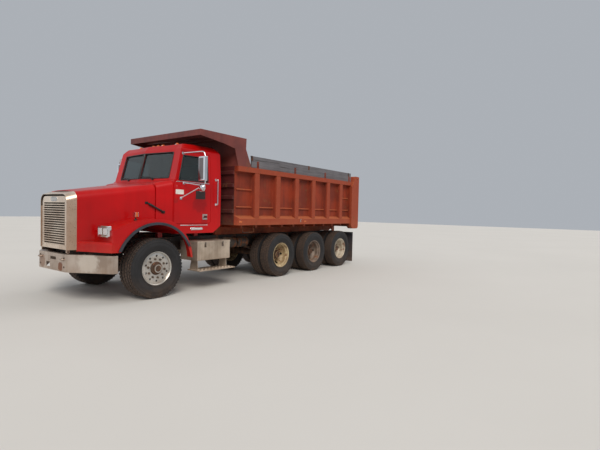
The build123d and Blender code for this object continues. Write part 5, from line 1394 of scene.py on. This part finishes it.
def dashboard_fittings():
    """Dials, switches, vents, pedals, gear lever, horn button and lamp stalk."""
    rims, faces, marks = bmesh.new(), bmesh.new(), bmesh.new()
    rows = [(0.44, 2.015, 0.048), (0.60, 2.015, 0.048)]
    rows += [(y, 2.028, 0.026) for y in (0.22, 0.30, 0.74, 0.82)] + [(y, 1.955, 0.026)
                                                                     for y in (0.22, 0.30, 0.74)]
    for y, z, radius in rows:
        spot = seat("dashboard", ahead(-1.2, y, z + 0.24), INTO_DASHBOARD, (0, 0, 1), 0.0005)
        gauge(rims, faces, marks, spot, radius)
    finish_piece("gauge_rims", rims, "chassis", "chrome")
    finish_piece("gauge_faces", faces, "chassis", "plate_black")
    finish_piece("gauge_marks", marks, "chassis", "plate_white")
    with new_piece("dashboard_switches_and_vents", "chassis", "trim_grey") as bm:
        for k in range(8):
            spot = seat("dashboard", ahead(-1.2, 0.12 - 0.055 * k, 2.20), INTO_DASHBOARD)
            plate(bm, spot, 0.030, 0.018, 0.006, 0.004, 0.001)
            bar(bm, spot @ Vector((0, 0, 0.004)), spot @ Vector((0, -0.006, 0.022)), 0.004, 8, 0.001)
        for y in (-0.45, -0.75, 0.90):
            spot = seat("dashboard", ahead(-1.2, y, 2.20), INTO_DASHBOARD)
            plate(bm, spot, 0.120, 0.070, 0.006, 0.010, 0.002)
            for k in range(4):
                line = moved(spot, 0, -0.024 + 0.016 * k, 0.005)
                plate(bm, line, 0.104, 0.005, 0.006, 0.002, 0.001)
    with new_piece("pedals", "chassis", "black_plastic") as bm:
        for y, width in ((0.72, 0.070), (0.58, 0.060), (0.38, 0.055)):
            slab(bm, ahead(-0.640, y - width / 2, 1.235), ahead(-0.622, y + width / 2, 1.325), 0.006)
            bar(bm, ahead(-0.622, y, 1.29), ahead(-0.545, y, 1.705), 0.008, 8, 0.001)
    lever = [ahead(-0.80, 0.11, 1.170), ahead(-0.80, 0.11, 1.30), ahead(-0.86, 0.14, 1.45),
             ahead(-0.90, 0.16, 1.74)]
    pipe("gear_lever", lever, 0.009, "chassis", "bolt_steel")
    with new_piece("gear_lever_knob_and_boot", "chassis", "dark_rubber") as bm:
        turned(bm, [(0.0, 0.075), (0.020, 0.070), (0.029, 0.045), (0.024, 0.012), (0.012, 0.0), (0.0, 0.0)],
               ahead(-0.90, 0.16, 1.72), (0, 0, 1), (1, 0, 0), 20)
        turned(bm, [(0.018, 0.135), (0.030, 0.110), (0.026, 0.100), (0.045, 0.070), (0.040, 0.060),
                    (0.075, 0.020), (0.080, 0.0)], ahead(-0.80, 0.11, 1.176), (0, 0, 1), (1, 0, 0), 20)
    with new_piece("horn_button", "chassis", "trim_grey") as bm:
        hub, foot = ahead(-0.850, SEAT_Y, 1.960), ahead(-0.560, SEAT_Y, 1.660)
        out = (hub - foot).normalized()
        spot = frame_at(hub + out * 0.018, out)
        turned(bm, [(0.0, 0.012), (0.022, 0.011), (0.036, 0.006), (0.040, -0.002)], spot.translation, out,
               (0, 1, 0), 28)
    with new_piece("turn_lamp_stalk", "chassis", "black_plastic") as bm:
        root = hub.lerp(foot, 0.25)
        bar(bm, root, root + Vector((0.01, 0.16, 0.05)), 0.006, 10, 0.001)
        bar(bm, root + Vector((0.008, 0.12, 0.038)), root + Vector((0.012, 0.18, 0.056)), 0.010, 12, 0.003)


def cab_linings():
    """Ribbed floor mat, door linings with their armrests and winders, visors and rear wall."""
    with new_piece("floor_mat", "chassis", "floor_mat") as bm:
        slab(bm, ahead(-1.46, -0.94, 1.1652), ahead(-0.68, 0.94, 1.177), 0.004)
        for k in range(30):
            y = -0.91 + 0.0628 * k
            slab(bm, ahead(-1.44, y, 1.176), ahead(-0.70, y + 0.014, 1.180), 0, 1)
    for word, side in SIDES.items():
        body = f"door_assembly_{word}"
        with new_piece(f"door_lining_{word}", body, "trim_grey") as bm:
            spot = frame_at(ahead(-0.870, side * 0.9955, 1.720), (0, -side, 0))
            plate(bm, spot, 0.80, 0.70, 0.010, 0.05, 0.003)
            plate(bm, moved(spot, 0, 0.16, 0.008), 0.72, 0.30, 0.008, 0.04, 0.004)
            slab(bm, ahead(-1.15, side * 0.9875, 1.645), ahead(-0.72, side * 0.925, 1.685), 0.014, 3)
            bar(bm, ahead(-0.62, side * 0.988, 1.90), ahead(-0.62, side * 0.968, 1.90), 0.022, 20, 0.003)
            bar(bm, ahead(-0.62, side * 0.972, 1.90), ahead(-0.70, side * 0.962, 1.86), 0.007, 10, 0.001)
            bar(bm, ahead(-0.70, side * 0.972, 1.86), ahead(-0.70, side * 0.930, 1.86), 0.011, 12, 0.003)
        with new_piece(f"sun_visor_{word}", "chassis", "trim_grey") as bm:
            visor = frame_at(ahead(-0.675, side * 0.42, 2.715), (-0.55, 0, -0.83), (0, 0, 1))
            plate(bm, visor, 0.50, 0.13, 0.014, 0.03, 0.004)
    with new_piece("rear_wall_lining", "chassis", "trim_grey") as bm:
        plate(bm, to_front(-1.549, 0, 1.690), 1.74, 0.80, 0.008, 0.05, 0.003)


# Camera, stage and light

def camera():
    """The photograph's view, as it was fitted to points on the truck."""
    yaw, pitch, roll = -2.508, -0.032, 0.023
    forward = Vector((math.cos(yaw) * math.cos(pitch), math.sin(yaw) * math.cos(pitch), math.sin(pitch)))
    right = forward.cross(Vector((0, 0, 1))).normalized()
    up = right.cross(forward)
    right_rolled = right * math.cos(roll) + up * math.sin(roll)
    up_rolled = up * math.cos(roll) - right * math.sin(roll)
    data = bpy.data.cameras.new("photo_view")
    focal_pixels, picture_width = 413.5, 600
    data.sensor_width = 36.0
    data.lens = focal_pixels / picture_width * data.sensor_width
    data.clip_end = 200
    eye = bpy.data.objects.new("photo_view", data)
    turn = Matrix((right_rolled, up_rolled, -forward)).transposed().to_4x4()
    eye.matrix_world = Matrix.Translation(ahead(4.388, 7.495, 1.592)) @ turn
    bpy.context.scene.collection.objects.link(eye)
    bpy.context.scene.camera = eye


def stage():
    """A light floor, a pale sky and three soft suns."""
    bm = bmesh.new()
    bmesh.ops.create_grid(bm, x_segments=1, y_segments=1, size=60)
    mesh = bpy.data.meshes.new("studio_floor")
    bm.to_mesh(mesh)
    bm.free()
    floor = bpy.data.objects.new("studio_floor", mesh)
    bpy.context.scene.collection.objects.link(floor)
    tree, shader = start_material("studio_floor", 0.85)
    cloud = grouped(tree, "weathering", Scale=0.15)
    shade = blend_colour(tree, cloud["Broad"], rgb(206, 202, 196), rgb(196, 192, 186))
    tree.links.new(shade, shader.inputs["Base Color"])
    mesh.materials.append(MATERIALS["studio_floor"])
    world = bpy.data.worlds.new("soft_sky")
    bpy.context.scene.world = world
    world.use_nodes = True
    background = world.node_tree.nodes["Background"]
    background.inputs[0].default_value = (0.82, 0.87, 0.94, 1)
    background.inputs[1].default_value = 0.5
    for name, spot, spread, power, colour in [("key", (7, 8, 9), 0.55, 2.3, (1.0, 0.96, 0.90)),
                                              ("fill", (10, -7, 5), 1.2, 0.45, (0.95, 0.97, 1.0)),
                                              ("rim", (-9, 2, 8), 0.9, 0.7, (1.0, 0.97, 0.94))]:
        light = bpy.data.lights.new(name, "SUN")
        light.angle, light.energy, light.color = spread, power, colour
        lamp = bpy.data.objects.new(name, light)
        turn = Vector(spot).to_track_quat("Z", "Y").to_matrix().to_4x4()
        lamp.matrix_world = Matrix.Translation(spot) @ turn
        bpy.context.scene.collection.objects.link(lamp)
    bpy.context.scene.view_settings.view_transform = "Standard"


camera()
stage()
tyres()
wheel_fittings()
windscreen_trim()
door_trim()
cab_side_trim()
roof_lamps()
bonnet_fittings()
nose_fittings()
door_mirrors()
bed_fittings()
gate_fittings()
rear_lamps()
rail_bolts()
spring_clamps()
brakes()
box_and_tank_fittings()
seat_pads()
seat_bases()
dashboard_fittings()
cab_linings()
